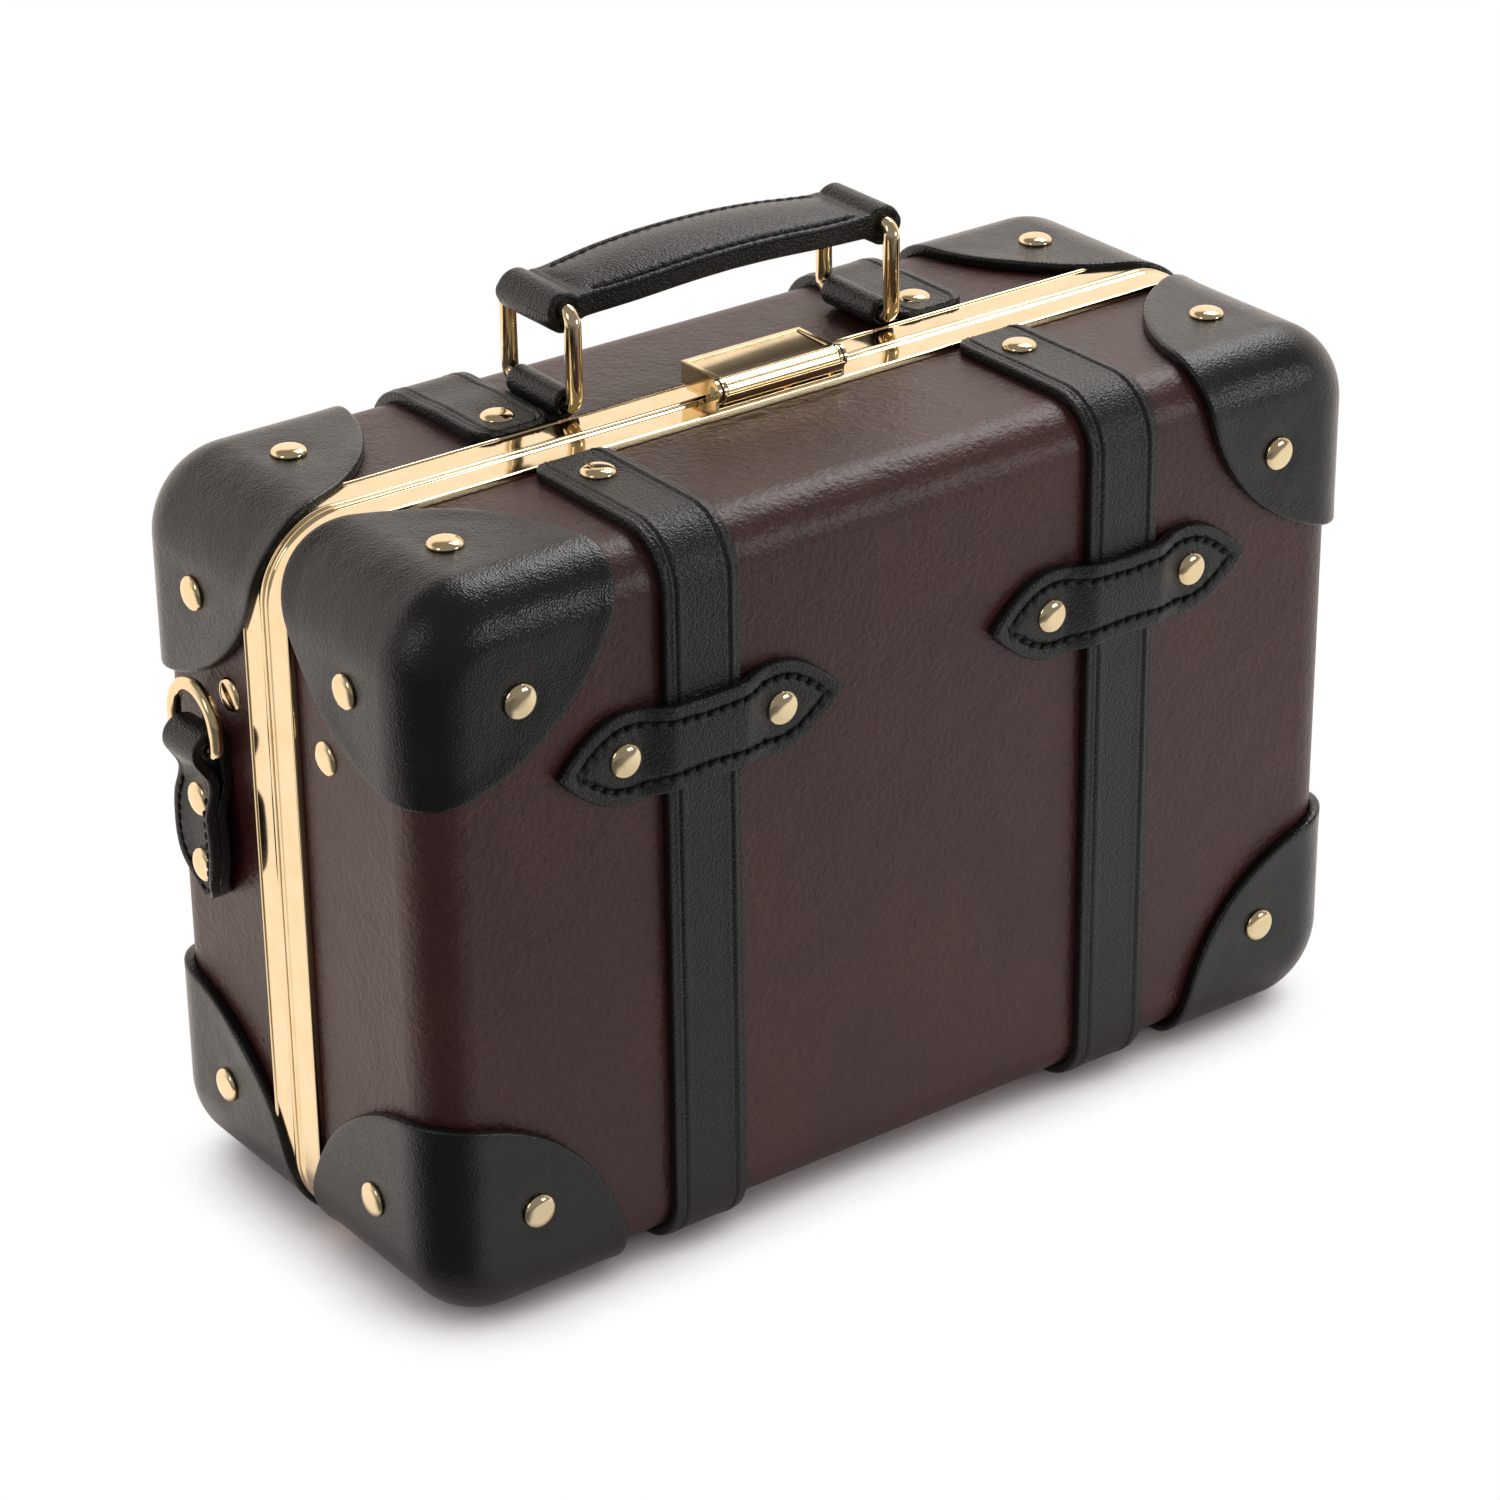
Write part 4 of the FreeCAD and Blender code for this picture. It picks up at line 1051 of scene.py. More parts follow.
def buildBand(sign, half):
    near = bands["edge"][half][0]
    outline = [(0, near + sign * reach, case["low"] + inset) for reach, inset in bandSection()]
    piece = wireLoop(camel(f"frame_{half}"), outline)
    straight = case["half"] - case["corner"]
    low = case["low"] + case["corner"]
    high = case["high"] - case["corner"]
    bends = [(straight, 0, low), (straight, 0, high), (-straight, 0, high), (-straight, 0, low)]
    runs = [(0, 0, high - low), (-2 * straight, 0, 0), (0, 0, low - high), (straight, 0, 0)]
    steps = [{"run": (straight, 0, 0), "cuts": 1}]
    for about, run in zip(bends, runs):
        steps.append({"turn": 90, "about": about, "axis": (0, -1, 0), "cuts": bands["bendCuts"]})
        steps.append({"run": run, "cuts": 1})
    sweep(piece, steps, closed=True)
    for signX, side in sides:
        notchHinge(piece, signX)
    smooth(piece, 32)
    settle(piece, "gold", f"{half}_half", f"frame_{half}")


def notchHinge(piece, signX):
    # room for a hinge's knuckles
    hinge = bands["hinge"]
    place = (signX * hinge["place"], hinge["y"], hinge["z"])
    size = (2 * hinge["half"], 2 * hinge["reach"], 2 * hinge["reach"])
    bpy.ops.mesh.primitive_cube_add(size=1, location=place, scale=size)
    notch = added("hingeNotch")
    bpy.ops.object.transform_apply(location=True, rotation=False, scale=True)
    finishWith(piece, "BOOLEAN", operation="DIFFERENCE", solver="EXACT", object=notch)
    bpy.data.objects.remove(notch)


for sign, half in halves:
    buildBand(sign, half)
print("bands folded")


# Small metal parts that keep their CAD shape, with eased edges

easedParts = [
    # node, body, width of the eased edge
    ("lock_catch", "rear_half", 0.12),
    ("lock_clip", "lock_flap", 0.08),
]
for sign, half in halves:
    easedParts += [(f"hinge_leaf_{half}_{side}", f"{half}_half", 0.1) for signX, side in sides]


def softened(node, name, width):
    piece = bpy.data.objects.new(name, frame["nodes"][node].data.copy())
    bpy.context.collection.objects.link(piece)
    piece.data.transform(Matrix.Scale(1 / metre, 4))
    editAll(piece)
    bpy.ops.mesh.remove_doubles(threshold=0.002)
    bpy.ops.mesh.dissolve_limited(angle_limit=math.radians(0.6))
    bpy.ops.object.mode_set(mode="OBJECT")
    easeEdges(piece, width, 2)
    smooth(piece, 35, flats=True)
    return piece


for node, body, width in easedParts:
    look = "steel" if node == "lock_clip" else "gold"
    settle(softened(node, camel(node), width), look, body, node)
print("small metal parts eased")


# Lock flap: a pressed cover with a tray in its top, hung on a rolled front edge

lock = {
    "half": 12.6,
    "rear": 6.2,
    "top": 139.9,
    "low": 135.7,
    "sheet": 0.8,
    "rim": 1.0,
    "tray": 0.45,
    "trayFall": 1.2,         # its floor falls a little to the front, in degrees
    "coverEase": 0.22,
    "axis": (-4.35, 137.75),
    "roll": 2.15,
    "rollEase": 0.12,
    "rollCuts": 128,
    "bore": 0.85,
    "groove": 11.9,          # a turned line at each end of the roll
    "grooveHalf": (0.05, 0.1),   # of its floor and its mouth
    "grooveDepth": 0.15,
    "flatsFrom": 0.4,        # in from that line
    "creases": [78.75, 50.625, 36.5625, 8.4375],   # long lines, in degrees above the front, flat in between
    "creaseDepth": 0.1,
    "apron": (2.32, 2.62),   # the hinge plate's front, bent up round the roll
    "apronFrom": -4.0,
    "apronTurn": 78.0,
    "apronCuts": 18,
    "apronEase": 0.08,
    "plateEase": 0.12,
}


def pressFace(piece, direction, rim, depth):
    # insets the face that looks one way and pushes it along its normal
    activate(piece)
    bpy.ops.object.mode_set(mode="EDIT")
    bpy.ops.mesh.select_mode(type="FACE")
    bpy.ops.mesh.select_all(action="DESELECT")
    bpy.ops.object.mode_set(mode="OBJECT")
    for face in piece.data.polygons:
        face.select = face.normal.dot(Vector(direction)) > 0.99
    bpy.ops.object.mode_set(mode="EDIT")
    bpy.ops.mesh.inset(thickness=rim, depth=0)
    bpy.ops.mesh.extrude_region_move(TRANSFORM_OT_translate={"value": Vector(direction) * depth})
    bpy.ops.object.mode_set(mode="OBJECT")


def lockCover():
    # a cube with its underside taken out, its top inset and pressed down
    front, rear = lock["axis"][0], lock["rear"]
    middle = (front + rear) / 2
    tall = lock["top"] - lock["low"]
    bpy.ops.mesh.primitive_cube_add(size=1, location=(0, middle, lock["low"] + tall / 2),
                                    scale=(2 * lock["half"], rear - front, tall))
    piece = added("lockCover")
    bpy.ops.object.transform_apply(location=True, rotation=False, scale=True)
    pressFace(piece, (0, 0, 1), lock["rim"], -lock["tray"])
    pressFace(piece, (0, 0, -1), lock["sheet"], lock["sheet"] + lock["tray"] - tall)
    place = points(piece)
    floor = np.isclose(place[:, 2], lock["top"] - lock["tray"])
    place[floor, 2] += (place[floor, 1] - middle) * math.tan(math.radians(lock["trayFall"]))
    shape(piece, place)
    easeEdges(piece, lock["coverEase"], 3)
    return piece


def lockRoll():
    # the rolled edge, with a turned line near each end and long creases with flats between them
    half, groove, roll = lock["half"], lock["groove"], lock["roll"]
    floor, mouth = lock["grooveHalf"]
    sunk = roll - lock["grooveDepth"]
    flats = groove - lock["flatsFrom"]
    steps = [(half, lock["bore"]), (half, sunk), (half - lock["rollEase"], roll), (groove + mouth, roll),
             (groove + floor, sunk), (groove - floor, sunk), (groove - mouth, roll), (flats, roll)]
    steps = [(-x, r) for x, r in steps] + steps[::-1]
    axisY, axisZ = lock["axis"]
    piece = wireLoop("lockRoll", [(x, axisY, axisZ + r) for x, r in steps])
    sweep(piece, [{"turn": 360, "about": (0, axisY, axisZ), "axis": (1, 0, 0), "cuts": lock["rollCuts"]}],
          closed=True)
    place = points(piece)
    out = place[:, 1:] - lock["axis"]
    turn = np.degrees(np.arctan2(out[:, 1], -out[:, 0]))
    fluted = np.abs(place[:, 0]) < flats + mouth
    share = np.ones(len(place))
    for high, low in zip(lock["creases"], lock["creases"][1:]):
        flat = fluted & (turn < high) & (turn > low)
        most = math.radians(high - low) / 2
        share[flat] = math.cos(most) / np.cos(np.radians(turn[flat] - (high + low) / 2))
    for crease in lock["creases"]:
        share[fluted & (np.abs(turn - crease) < 1)] = 1 - lock["creaseDepth"] / roll
    place[:, 1:] = out * share[:, None] + lock["axis"]
    shape(piece, place)
    return piece


def lockApron():
    half = lock["half"]
    inner, outer = lock["apron"]
    axisY, axisZ = lock["axis"]
    start = math.radians(lock["apronFrom"])
    section = [(-half, inner), (half, inner), (half, outer), (-half, outer)]
    outline = [(x, axisY - r * math.cos(start), axisZ + r * math.sin(start)) for x, r in section]
    piece = wireLoop("lockApron", outline)
    sweep(piece, [{"turn": lock["apronTurn"], "about": (0, axisY, axisZ), "axis": (1, 0, 0),
                   "cuts": lock["apronCuts"]}])
    easeEdges(piece, lock["apronEase"], 2)
    return piece


def buildLock():
    flap = joined([lockCover(), lockRoll()], "lockFlap")
    smooth(flap, 35, flats=True)
    settle(flap, "gold", "lock_flap", "lock_flap")
    plate = softened("lock_hinge_plate", "lockPlate", lock["plateEase"])
    plate = joined([plate, lockApron()], "lockHingePlate")
    smooth(plate, 35, flats=True)
    settle(plate, "gold", "front_half", "lock_hinge_plate")


buildLock()
print("lock hung")


# Wire: the handle's loops and the D-rings, bent from round bar

wires = {
    "loop": {"x": 33.7, "y": 17.0, "half": 9.7, "low": 136.2, "high": 153.0, "bend": 2.2, "radius": 1.5},
    "ring": {"x": 101.7, "y": 22.5, "half": 6.75, "low": 88.5, "high": 99.0, "bend": 1.6, "radius": 1.25},
    "nodes": {"loop": "handle_loop", "ring": "d_ring"},
    "sides": 28,
    "bendCuts": 16,
    "bowCuts": 48,
}


def bentWire(name, size, bow):
    # starts in the middle of the lower bar and goes round by the rear; a bow closes the top in one turn
    out = size["half"] - size["bend"]
    top = size["half"] if bow else size["bend"]
    lift = Vector((0, 0, size["high"] - top - size["low"] - size["bend"]))
    start = Vector((size["x"], size["y"], size["low"]))
    circle = arc((0, 0), size["radius"], 0, 360, wires["sides"] + 1)[:-1]
    piece = wireLoop(name, [start + Vector((a, 0, b)) for a, b in circle])
    middle = start + Vector((0, 0, size["bend"]))
    rear = middle + Vector((0, out, 0))
    front = middle - Vector((0, out, 0))
    bend = {"turn": 90, "axis": (1, 0, 0), "cuts": wires["bendCuts"]}
    if bow:
        over = [{"turn": 180, "about": middle + lift, "axis": (1, 0, 0), "cuts": wires["bowCuts"]}]
    else:
        over = [{**bend, "about": rear + lift}, {"run": (0, -2 * out, 0), "cuts": 2},
                {**bend, "about": front + lift}]
    sweep(piece, [
        {"run": (0, out, 0), "cuts": 1},
        {**bend, "about": rear},
        {"run": lift, "cuts": 2},
        *over,
        {"run": -lift, "cuts": 2},
        {**bend, "about": front},
        {"run": (0, out, 0), "cuts": 1},
    ], closed=True)
    smooth(piece, 60)
    return piece


def buildWires():
    for signX, side in sides:
        for kind, node in wires["nodes"].items():
            body = f"{kind}_{side}"
            piece = bentWire(camel(body), wires[kind], kind == "ring")
            if side == "left":
                shape(piece, points(piece) * [-1, 1, 1])
                tidyMesh(piece, 60)
            settle(piece, "gold", body, f"{node}_{side}")


buildWires()
print("wire bent")


# Handle tabs: leather rolled round the lower bars, with tails that go under the rear straps

tabs = {
    "bar": (33.7, 136.2),
    "y": 17.0,
    "half": 7.4,
    "roll": 2.65,
    "rollTurns": (-80, -408, 60),    # from and to, in degrees, and steps
    "tail": (16.0, 5.0),     # it lies flat between these distances from the bar
    "tailLow": 133.0,
    "thick": 1.05,
    "tailThick": 1.0,
    "thickens": (12.0, 17.0),    # from the tail's end
    "gaps": [0, 0.01, 0.03, 0.06, 0.12, 0.3, 0.6],
    "cuts": 90,
    "round": 0.5,
}


def buildHandleTab(signX, side):
    node = f"handle_tab_{side}"
    tail = [(tabs["bar"][0] + away, tabs["tailLow"]) for away in tabs["tail"]]
    route = np.vstack([tail, arc(tabs["bar"], tabs["roll"], *tabs["rollTurns"])])
    piece, bar, upper, lower = strip(camel(node), routeLength(route)[-1], tabs)
    place, normal, tangent = alongRoute(route, bar[:, 0])
    thin = tabs["tailThick"] / tabs["thick"]
    thick = thin + (1 - thin) * smoothStep(bar[:, 0], *tabs["thickens"])
    edge = (1 - np.abs(bar[:, 1])) * tabs["half"]
    x, z = (place + normal * (bar[:, 2] * thick - roundOver(edge, tabs["round"]) * upper)[:, None]).T
    shape(piece, np.stack([signX * x, tabs["y"] + bar[:, 1] * tabs["half"], z], 1))
    tidyMesh(piece, 45)
    settle(piece, "strap", "rear_half", node)


for signX, side in sides:
    buildHandleTab(signX, side)
print("handle tabs rolled")


# Ring tabs: a leaf of leather folded over the D-ring's bar, stitched and riveted

ringTabs = {
    "bar": (101.7, 88.5),
    "y": 22.5,
    "roll": 3.7,
    "rollTurns": (-38, 180, 60),
    "face": [(102.0, 59.0), (102.0, 66), (102.0, 74), (102.1, 79), (102.75, 83)],   # X and Z of its outside
    "back": (98.0, 59.0),
    "thick": 2.03,
    "widths": [(59.0, 1.0), (61.0, 3.4), (65.0, 6.4), (69.0, 7.6), (73.0, 7.75), (77.0, 7.3), (81.0, 6.0),
               (84.5, 5.1), (90, 5.0)],     # half its width at each level
    "leaf": (59.0, 83.0),
    "neck": [(5.1, 95.0), (-5.1, 95.0)],    # its edges past the leaf
    "gaps": [0, 0.015, 0.04, 0.08, 0.13, 0.17, 0.2, 0.23, 0.26, 0.3, 0.36, 0.45, 0.6, 0.8],
    "cuts": 150,
    "round": 0.55,
    "dimple": (0.35, 3.4),
    "seam": 1.55,
    "seamTop": 80.5,
    "groove": (0.2, 0.4),
    "hole": (0.25, 0.38),
    "pitch": 1.9,
    "thread": (0.8, 0.32),
    "threadSink": 0.06,
    "curl": (2.7, 0.8),      # how far its near and far edges stand off
    "curlAcross": ((1.2, 7.0), (2.0, 7.5)),
    "curlTop": (77.0, 83.5),
}


def lineAt(marks, place):
    # a smooth line through marks, read at a distance from its start
    return np.interp(np.abs(place), *curveThrough(marks).T)


def ringTabCurl(across, z):
    (near, far), (nearFrom, farFrom) = ringTabs["curl"], ringTabs["curlAcross"]
    lift = near * smoothStep(-across, *nearFrom) + far * smoothStep(across, *farFrom)
    return lift * (1 - smoothStep(z, *ringTabs["curlTop"]))


def ringTabRoute():
    # up the outside, over the bar and down the back; also the part before the bar alone
    wrap = arc(ringTabs["bar"], ringTabs["roll"], *ringTabs["rollTurns"])
    rise = curveThrough(ringTabs["face"] + [tuple(wrap[0]), tuple(wrap[4])])
    rise = rise[:np.argmax(rise[:, 1] >= wrap[0][1])]
    return np.vstack([rise, wrap, [ringTabs["back"]]]), rise


def ringTabEdges():
    # the outline of the whole outside, and the open line of the seam in it
    level = np.linspace(*ringTabs["leaf"], 90)
    right = np.stack([lineAt(ringTabs["widths"], level), level], 1)
    left = (right * [-1, 1])[::-1]
    inner = insetLine(np.vstack([right, left]), ringTabs["seam"])
    inner = inner[inner[:, 1] < ringTabs["seamTop"]]
    strides = np.linalg.norm(np.diff(np.vstack([inner, inner[:1]]), axis=0), axis=1)
    seam = np.roll(inner, -np.argmax(strides) - 1, axis=0)
    return np.vstack([right[:-1], ringTabs["neck"], left[1:]]), seam


def buildRingTab(signX, side):
    node = f"ring_tab_{side}"
    route, rise = ringTabRoute()
    outline, seam = ringTabEdges()
    length = routeLength(route)
    piece, bar, upper, lower = strip(camel(node), length[-1], ringTabs)
    place, normal, tangent = alongRoute(route, bar[:, 0])
    level = place[:, 1]
    across = bar[:, 1] * lineAt(ringTabs["widths"], level)
    outside = bar[:, 0] < length[len(rise)]
    flat = np.stack([across, level], 1)
    edge = edgeDistance(flat, outline)
    middles, tangents, pitch = pitched(seam, ringTabs["pitch"])
    drop = seamGroove(edge, ringTabs)
    drop += dimple(flat, [(0, z) for z in rivets["tab"]["z"]], *ringTabs["dimple"])
    drop = drop * outside + roundOver(edge, ringTabs["round"])
    holes = middles + tangents * pitch / 2
    drop += shadeAndSinkHoles(piece, np.where(outside[:, None], flat, 1e3), holes, ringTabs)
    x, z = (place - normal * (bar[:, 2] - upper * drop)[:, None]).T
    x = signX * (x + ringTabCurl(across, level))
    shape(piece, np.stack([x, ringTabs["y"] + across, z], 1))
    tidyMesh(piece, 45)
    settle(piece, "strap", "rear_half", node)
    threads = []
    for (seamY, seamZ), (runY, runZ) in zip(middles, tangents):
        out = np.interp(seamZ, rise[:, 1], rise[:, 0]) + ringTabCurl(seamY, seamZ) - ringTabs["threadSink"]
        threads.append(facing((signX * out, ringTabs["y"] + seamY, seamZ), (signX, 0, 0), (0, runY, runZ)))
    sew(camel(node) + "Thread", threads, pitch, ringTabs, "rear_half")


for signX, side in sides:
    buildRingTab(signX, side)
print("ring tabs folded")


# Grip: padded leather between two rolls, swelled as cloth and stitched along its edges

grip = {
    "y": 17.0,
    "bar": (33.7, 153.0),
    "roll": 3.6,
    "rollTurn": 84,       # degrees that its ends are drawn round, from the top
    "rollDrop": 0.4,      # the leather hangs a little below the bar
    "rollFrom": (30.2, 31.6),
    "rollEnds": (0.5, 1.6, 2.5),   # they close in round the bar: depth, and between these distances from it
    "tops": [(0, 156.75), (8, 156.6), (16, 156.1), (23, 155.5), (27.5, 155.2), (29.6, 155.15),
             (30.7, 155.3)],
    "lows": [(0, 152.9), (8, 152.7), (16, 152.2), (23, 151.55), (27.5, 151.1), (29.6, 150.9),
             (30.7, 150.5)],
    "halves": [(0, 9.5), (10, 9.45), (18, 9.2), (24, 8.5), (28, 7.9), (31, 7.8), (38, 7.8)],
    "gaps": [0, 0.012, 0.035, 0.07, 0.11, 0.15, 0.18, 0.205, 0.23, 0.27, 0.32, 0.4, 0.5, 0.6, 0.7, 0.8,
             0.9],
    "sideRows": (0.12, 0.25, 0.38, 0.5, 0.62, 0.75, 0.88),
    "cuts": 170,
    "thick": 1.0,         # as a share of what lies between the tops and the lows
    "round": (0.7, 0.5),  # of the upper and lower edges
    "neck": 29.0,
    "seam": 1.75,
    "seamHalf": 27.5,
    "groove": (0.3, 0.42),
    "grooveEnds": (27.0, 28.5),
    "hole": (0.5, 0.55),
    "pitch": 2.3,
    "thread": (0.74, 0.46),
    "threadSink": 0.02,
    "crown": 1.0,
    "crownEnds": 20.0,
    "cloth": {
        "quality": 6,
        "mass": 0.05,
        "tension_stiffness": 30,
        "compression_stiffness": 30,
        "shear_stiffness": 15,
        "bending_stiffness": 2,
        "use_pressure": True,
        "uniform_pressure_force": 8.0,
        "vertex_group_mass": "held",
    },
    "clothSteps": 24,
    "clothScale": 0.1,    # it is worked out with a millimetre as a tenth of a metre
}


def gripLevels(x):
    # top and bottom of the grip at a place along it
    barX, barZ = grip["bar"]
    past = np.clip(np.abs(x) - barX, -grip["roll"], grip["roll"])
    ring = np.sqrt(np.clip(grip["roll"] ** 2 - past ** 2, 0, None))
    share = smoothStep(np.abs(x), *grip["rollFrom"])
    middle = barZ - grip["rollDrop"]
    top = lineAt(grip["tops"], x) * (1 - share) + (middle + ring) * share
    low = lineAt(grip["lows"], x) * (1 - share) + (middle - ring) * share
    return top, low


def gripTop(x):
    return gripLevels(x)[0]


def swell(piece, held):
    # cloth held at its seams and blown up between them
    group = piece.vertex_groups.new(name="held")
    group.add([int(index) for index in np.flatnonzero(held)], 1.0, "REPLACE")
    piece.data.transform(Matrix.Scale(grip["clothScale"], 4))
    activate(piece)
    modifier = piece.modifiers.new("Cloth", "CLOTH")
    for name, setting in grip["cloth"].items():
        setattr(modifier.settings, name, setting)
    modifier.settings.effector_weights.gravity = 0
    modifier.point_cache.frame_end = grip["clothSteps"]
    scene = bpy.context.scene
    for step in range(grip["clothSteps"]):
        scene.frame_set(step + 1)
    blown = points(piece.evaluated_get(bpy.context.evaluated_depsgraph_get()))
    piece.modifiers.clear()
    scene.frame_set(1)
    shape(piece, blown)
    piece.data.transform(Matrix.Scale(1 / grip["clothScale"], 4))
    piece.vertex_groups.clear()


def gripSeams():
    # places of the stitches and of the holes between them, along both edges
    threads, holes = [], []
    run = np.linspace(-grip["seamHalf"], grip["seamHalf"], 200)
    inset = lineAt(grip["halves"], run) - grip["seam"]
    for sign in (-1, 1):
        middles, tangents, pitch = pitched(np.stack([run, sign * inset], 1), grip["pitch"])
        holes.append(middles + tangents * pitch / 2)
        for (seamX, seamY), (runX, runY) in zip(middles, tangents):
            slope = slopeOf(gripTop, seamX)
            spot = (seamX, grip["y"] + seamY, gripTop(seamX) - grip["threadSink"])
            threads.append(facing(spot, (-slope, 0, 1), (runX, runY, slope * runX)))
    return threads, np.vstack(holes), pitch


def buildGrip():
    barX, barZ = grip["bar"]
    most = math.radians(grip["rollTurn"])
    total = 2 * (barX + most * grip["roll"])
    piece, bar, upper, lower = strip("handleGrip", total, grip)
    run = bar[:, 0] - total / 2
    turn = np.clip((np.abs(run) - barX) / grip["roll"], 0, most)
    x = np.sign(run) * (np.minimum(np.abs(run), barX) + grip["roll"] * np.sin(turn))
    top, low = gripLevels(x)
    half = lineAt(grip["halves"], x)
    edge = (1 - np.abs(bar[:, 1])) * half
    upperRound, lowerRound = grip["round"]
    rounding = lower * roundOver(edge, lowerRound) - upper * roundOver(edge, upperRound)
    z = low + (1 + bar[:, 2]) * (top - low) + rounding * np.clip((top - low) / 2, 0, 1)
    depth, inner, outer = grip["rollEnds"]
    closed = depth * (1 - smoothStep(np.hypot(np.abs(x) - barX, z - barZ), inner, outer))
    ends = np.abs(bar[:, 1]) > 0.99
    y = bar[:, 1] * half - np.sign(bar[:, 1]) * ends * closed
    shape(piece, np.stack([x, y, z], 1))
    free = upper & (edge > grip["seam"] + 0.1) & (np.abs(x) < grip["neck"])
    swell(piece, ~free)
    blown = points(piece)
    print("grip swelled by", round(float((blown[:, 2] - z).max()), 2), "mm")
    x, y, z = blown.T
    threads, holes, pitch = gripSeams()
    pressed = seamGroove(edge, grip) * (1 - smoothStep(np.abs(x), *grip["grooveEnds"]))
    pressed += shadeAndSinkHoles(piece, np.stack([x, y], 1), holes, grip) * (np.abs(x) < grip["neck"])
    z = z - upper * pressed
    shape(piece, np.stack([x, grip["y"] + y, z], 1))
    tidyMesh(piece, 55)
    settle(piece, "strap", "grip", "handle_grip")
    sew("handleGripThread", threads, pitch, grip, "grip")


buildGrip()
print("grip padded")


# Stays: straps that hang folded when the case is shut and draw straight when it is open

stays = {
    "hinge": (1.5, 1.5),
    "rivet": (14.9, 98.6),     # from the split, and above the floor
    "open": 95.0,
    "half": 4.0,
    "tipHalf": 0.05,
    "outside": 94.8,
    "thick": 1.2,
    "gaps": [0, 0.02, 0.06, 0.15, 0.4],
    "cuts": 160,
    "round": 0.3,
    "turns": (-60.0, 240.0),   # where points of the shut stay are looked for, in degrees round the hinge
}


def stayShut(place, rounds=50):
    # where points of the open stay lie when the case is shut: each keeps its distance from the hinge
    reach = np.hypot(place[:, 0], place[:, 1])
    turn = np.degrees(np.arctan2(place[:, 1], place[:, 0])) % 360
    low, high = (np.full(len(turn), end) for end in stays["turns"])
    for step in range(rounds):
        guess = (low + high) / 2
        share = 0.5 - reach * np.cos(np.radians(guess)) / (2 * stays["rivet"][0])
        past = guess + smoothStep(share, 0, 1) * stays["open"] > turn
        high = np.where(past, guess, high)
        low = np.where(past, low, guess)
    return reach * np.cos(np.radians(guess)), reach * np.sin(np.radians(guess))


def buildStay(signX, side):
    # drawn straight from rivet to rivet as it is in the open case, and then folded
    node = f"stay_{side}"
    split, axle = stays["hinge"]
    across, above = stays["rivet"][0], stays["rivet"][1] - axle
    reach = math.hypot(across, above)
    halfTurn = math.radians(stays["open"] / 2) + math.atan2(across, above)
    middle = math.radians(90 + stays["open"] / 2)
    out = np.array([math.cos(middle), math.sin(middle)])
    down = np.array([-out[1], out[0]])
    total = 2 * (reach * math.sin(halfTurn) + stays["half"])
    piece, bar, upper, lower = strip(camel(node), total, stays)
    gap = np.minimum(bar[:, 0], total - bar[:, 0])
    half = stays["half"] + stays["tipHalf"] - roundOver(gap, stays["half"])
    edge = (1 - np.abs(bar[:, 1])) * half
    outward = reach * math.cos(halfTurn) + bar[:, 1] * half
    y, z = stayShut(outward[:, None] * out + (bar[:, 0] - total / 2)[:, None] * down)
    wall = stays["outside"] - stays["thick"] - bar[:, 2] + upper * roundOver(edge, stays["round"])
    shape(piece, np.stack([signX * wall, split + y, axle + z], 1))
    tidyMesh(piece, 45)
    settle(piece, "strap", None, node)
    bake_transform(piece)


for signX, side in sides:
    buildStay(signX, side)
print("stays hung")


# Studio: camera, white floor and room, soft lamps

camera = {
    "place": (-0.43691, -0.59046, 0.43410),
    "turn": (63.288, 0.671, -36.611),
    "lens": 111.28,
    "sensor": 36.0,
    "near": 0.05,
}


def placeCamera():
    bpy.ops.object.camera_add(location=camera["place"], rotation=[math.radians(a) for a in camera["turn"]])
    made = added("camera")
    made.data.lens = camera["lens"]
    made.data.sensor_width = camera["sensor"]
    made.data.clip_start = camera["near"]
    bpy.context.scene.camera = made


studio = {
    "floorSize": 8.0,
    "floor": (0.88, 0.77, 0.76, 1),
    "shadow": (0.25, 0.85),         # how shut in the floor is where its shadow starts, and where it is full
    "shadowReach": 0.02,
    "shadowSamples": 12,
    "shadowLean": (0.2, 0.12, 0.97),    # to the right, so that the left side's shadow is the longer
    "unmirrored": (0.0, 0.45),      # how shut in it is where its glow starts to go, and where it is gone
    "floorGlow": (0.78, 1.05, 1.3),  # as metal and lacquer mirror it: front left, front right, behind
    "glowAcross": (-0.02, 0.16),    # where it passes from left to right
    "glowBack": (-0.08, 0.04),      # and from the front to behind
    "tableEdge": (-0.45, -0.89, 0.0),
    "tableEnd": (0.16, 0.25, 0.28),  # where it ends on that side, and what is left of its glow there
    "ambient": 0.6,
    "mirrored": (0.3, 1.3),         # the room as it is mirrored: dark front and bright back
    "back": (0.30, 0.85, 0.0),
    "backFrom": (-0.3, 0.5),
    "backTop": (0.58, 0.74),        # the bright back ends at this height
    "shade": (-0.75, -0.65, 0.0),   # the unlit side of the room
    "shadeFrom": (-0.09, -0.035, 0.0),
    "shadeEdge": (0.35, 0.9),
    "shadeGlow": 0.15,
    "warmth": ((1.0, 0.98, 0.96, 1), (1.0, 0.9, 0.83, 1)),  # of what is mirrored, in front and behind
    "lamps": [
        # name, place, aims at, size, watts
        ("overhead", (0.64, 0.24, 0.98), (0.0, 0.0, 0.05), (0.6, 0.42), 5.0),
        ("front", (0.80, -1.15, 0.42), (0.0, 0.0, 0.07), (0.45, 0.35), 3.0),
        ("side", (-1.15, -0.25, 0.85), (0.0, 0.0, 0.07), (0.4, 0.6), 1.6),
    ],
}


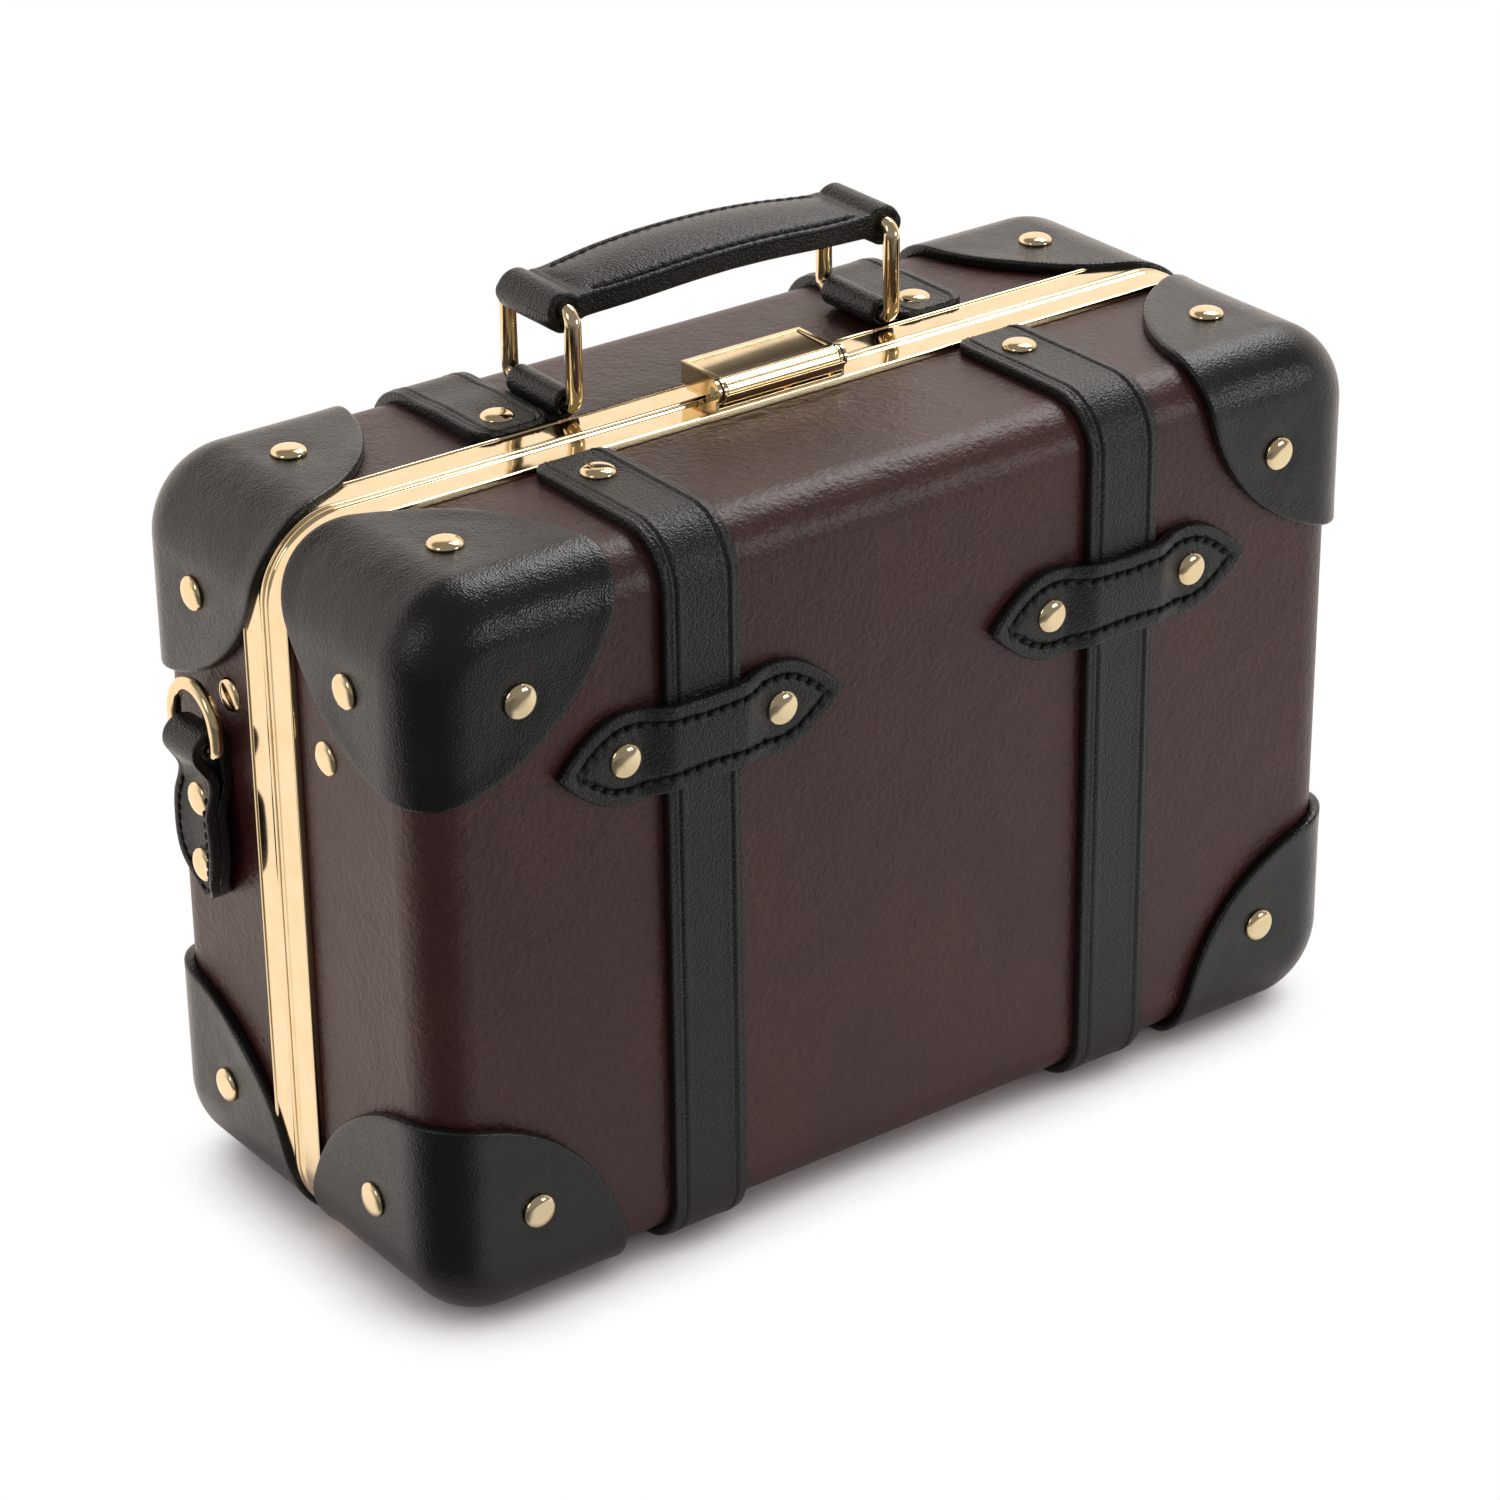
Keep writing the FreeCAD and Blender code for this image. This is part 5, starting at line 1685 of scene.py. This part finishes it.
def lightStudio():
    scene = bpy.context.scene
    scene.view_settings.view_transform = "Standard"
    world = bpy.data.worlds.new("studio")
    scene.world = world
    world.use_nodes = True
    world.cycles.sampling_method = "NONE"
    graph = Graph(world.node_tree)
    path = graph.node("ShaderNodeLightPath")
    seen = path.output("Is Camera Ray")
    glossy = path.output("Is Glossy Ray")
    direction = graph.node("ShaderNodeTexCoord").output("Generated")
    behind = graph.towards(direction, Vector(studio["back"]).normalized())
    behind = graph.between(behind, *studio["backFrom"])
    height = graph.node("ShaderNodeSeparateXYZ", {}, {0: direction}).output("Z")
    dark, bright = studio["mirrored"]
    room = behind * (1 - graph.between(height, *studio["backTop"])) * (bright - dark) + dark
    strength = seen + (1 - seen) * (glossy * room + (1 - glossy) * studio["ambient"])
    colour = graph.mix(glossy, (1, 1, 1, 1), graph.mix(behind, *studio["warmth"]))
    back = graph.node("ShaderNodeBackground", {}, {"Color": colour, "Strength": strength})
    graph.node("ShaderNodeOutputWorld", {}, {"Surface": back})
    for name, place, target, size, watts in studio["lamps"]:
        bpy.ops.object.light_add(type="AREA", location=place)
        lamp = added(name)
        aim = Vector(target) - Vector(place)
        lamp.rotation_euler = aim.to_track_quat("-Z", "Y").to_euler()
        lamp.data.shape = "RECTANGLE"
        lamp.data.size, lamp.data.size_y = size
        lamp.data.energy = watts


def floorGlow(graph, place, rear):
    # what metal and lacquer see of the floor: a table that ends in front, with an unlit side
    left, right, behind = studio["floorGlow"]
    across = graph.node("ShaderNodeSeparateXYZ", {}, {0: place}).output("X")
    front = graph.between(across, *studio["glowAcross"]) * (right - left) + left
    near, far, share = studio["tableEnd"]
    gone = graph.between(graph.towards(place, studio["tableEdge"]), near, far)
    front = front * (1 - gone * (1 - share))
    glow = front + rear * (behind - front)
    aside = graph.vector("NORMALIZE", graph.vector("SUBTRACT", place, studio["shadeFrom"]))
    unlit = graph.towards(aside, Vector(studio["shade"]).normalized())
    return glow + graph.between(unlit, *studio["shadeEdge"]) * (studio["shadeGlow"] - glow)


def layFloor():
    # matt where the case shuts it in, so that it keeps the shadow, and elsewhere as white as the room
    bpy.ops.mesh.primitive_plane_add(size=studio["floorSize"], location=(0, 0, 0))
    floor = added("floor")
    material = bpy.data.materials.new("paleFloor")
    material.use_nodes = True
    graph = Graph(material.node_tree)
    place = graph.node("ShaderNodeTexCoord").output("Object")
    lean = graph.node("ShaderNodeCombineXYZ", {}, dict(enumerate(studio["shadowLean"])))
    reach = {"Distance": studio["shadowReach"], "Normal": lean}
    bare = graph.node("ShaderNodeAmbientOcclusion", {"samples": studio["shadowSamples"]}, reach)
    shut = 1 - bare.output("AO")
    below = graph.node("ShaderNodeNewGeometry").output("Backfacing")
    path = graph.node("ShaderNodeLightPath")
    depth = graph.node("ShaderNodeSeparateXYZ", {}, {0: place}).output("Y")
    rear = graph.between(depth, *studio["glowBack"])
    glow = {"Color": graph.mix(rear, *studio["warmth"]), "Strength": floorGlow(graph, place, rear)}
    glowing = graph.node("ShaderNodeEmission", {}, glow)
    matt = graph.node("ShaderNodeBsdfDiffuse", {}, {"Color": studio["floor"]})
    clear = graph.node("ShaderNodeBsdfTransparent")
    shadow = graph.between(shut, *studio["shadow"]) * (1 - below)
    through = path.output("Is Camera Ray") + path.output("Is Shadow Ray")
    seen = graph.node("ShaderNodeMixShader", {}, {0: (1 - shadow) * through, 1: matt, 2: clear})
    lit = (1 - graph.between(shut, *studio["unmirrored"])) * path.output("Is Glossy Ray")
    surface = graph.node("ShaderNodeMixShader", {}, {0: lit, 1: seen, 2: glowing})
    graph.node("ShaderNodeOutputMaterial", {}, {"Surface": surface})
    floor.data.materials.append(material)


placeCamera()
lightStudio()
layFloor()
print("studio ready")
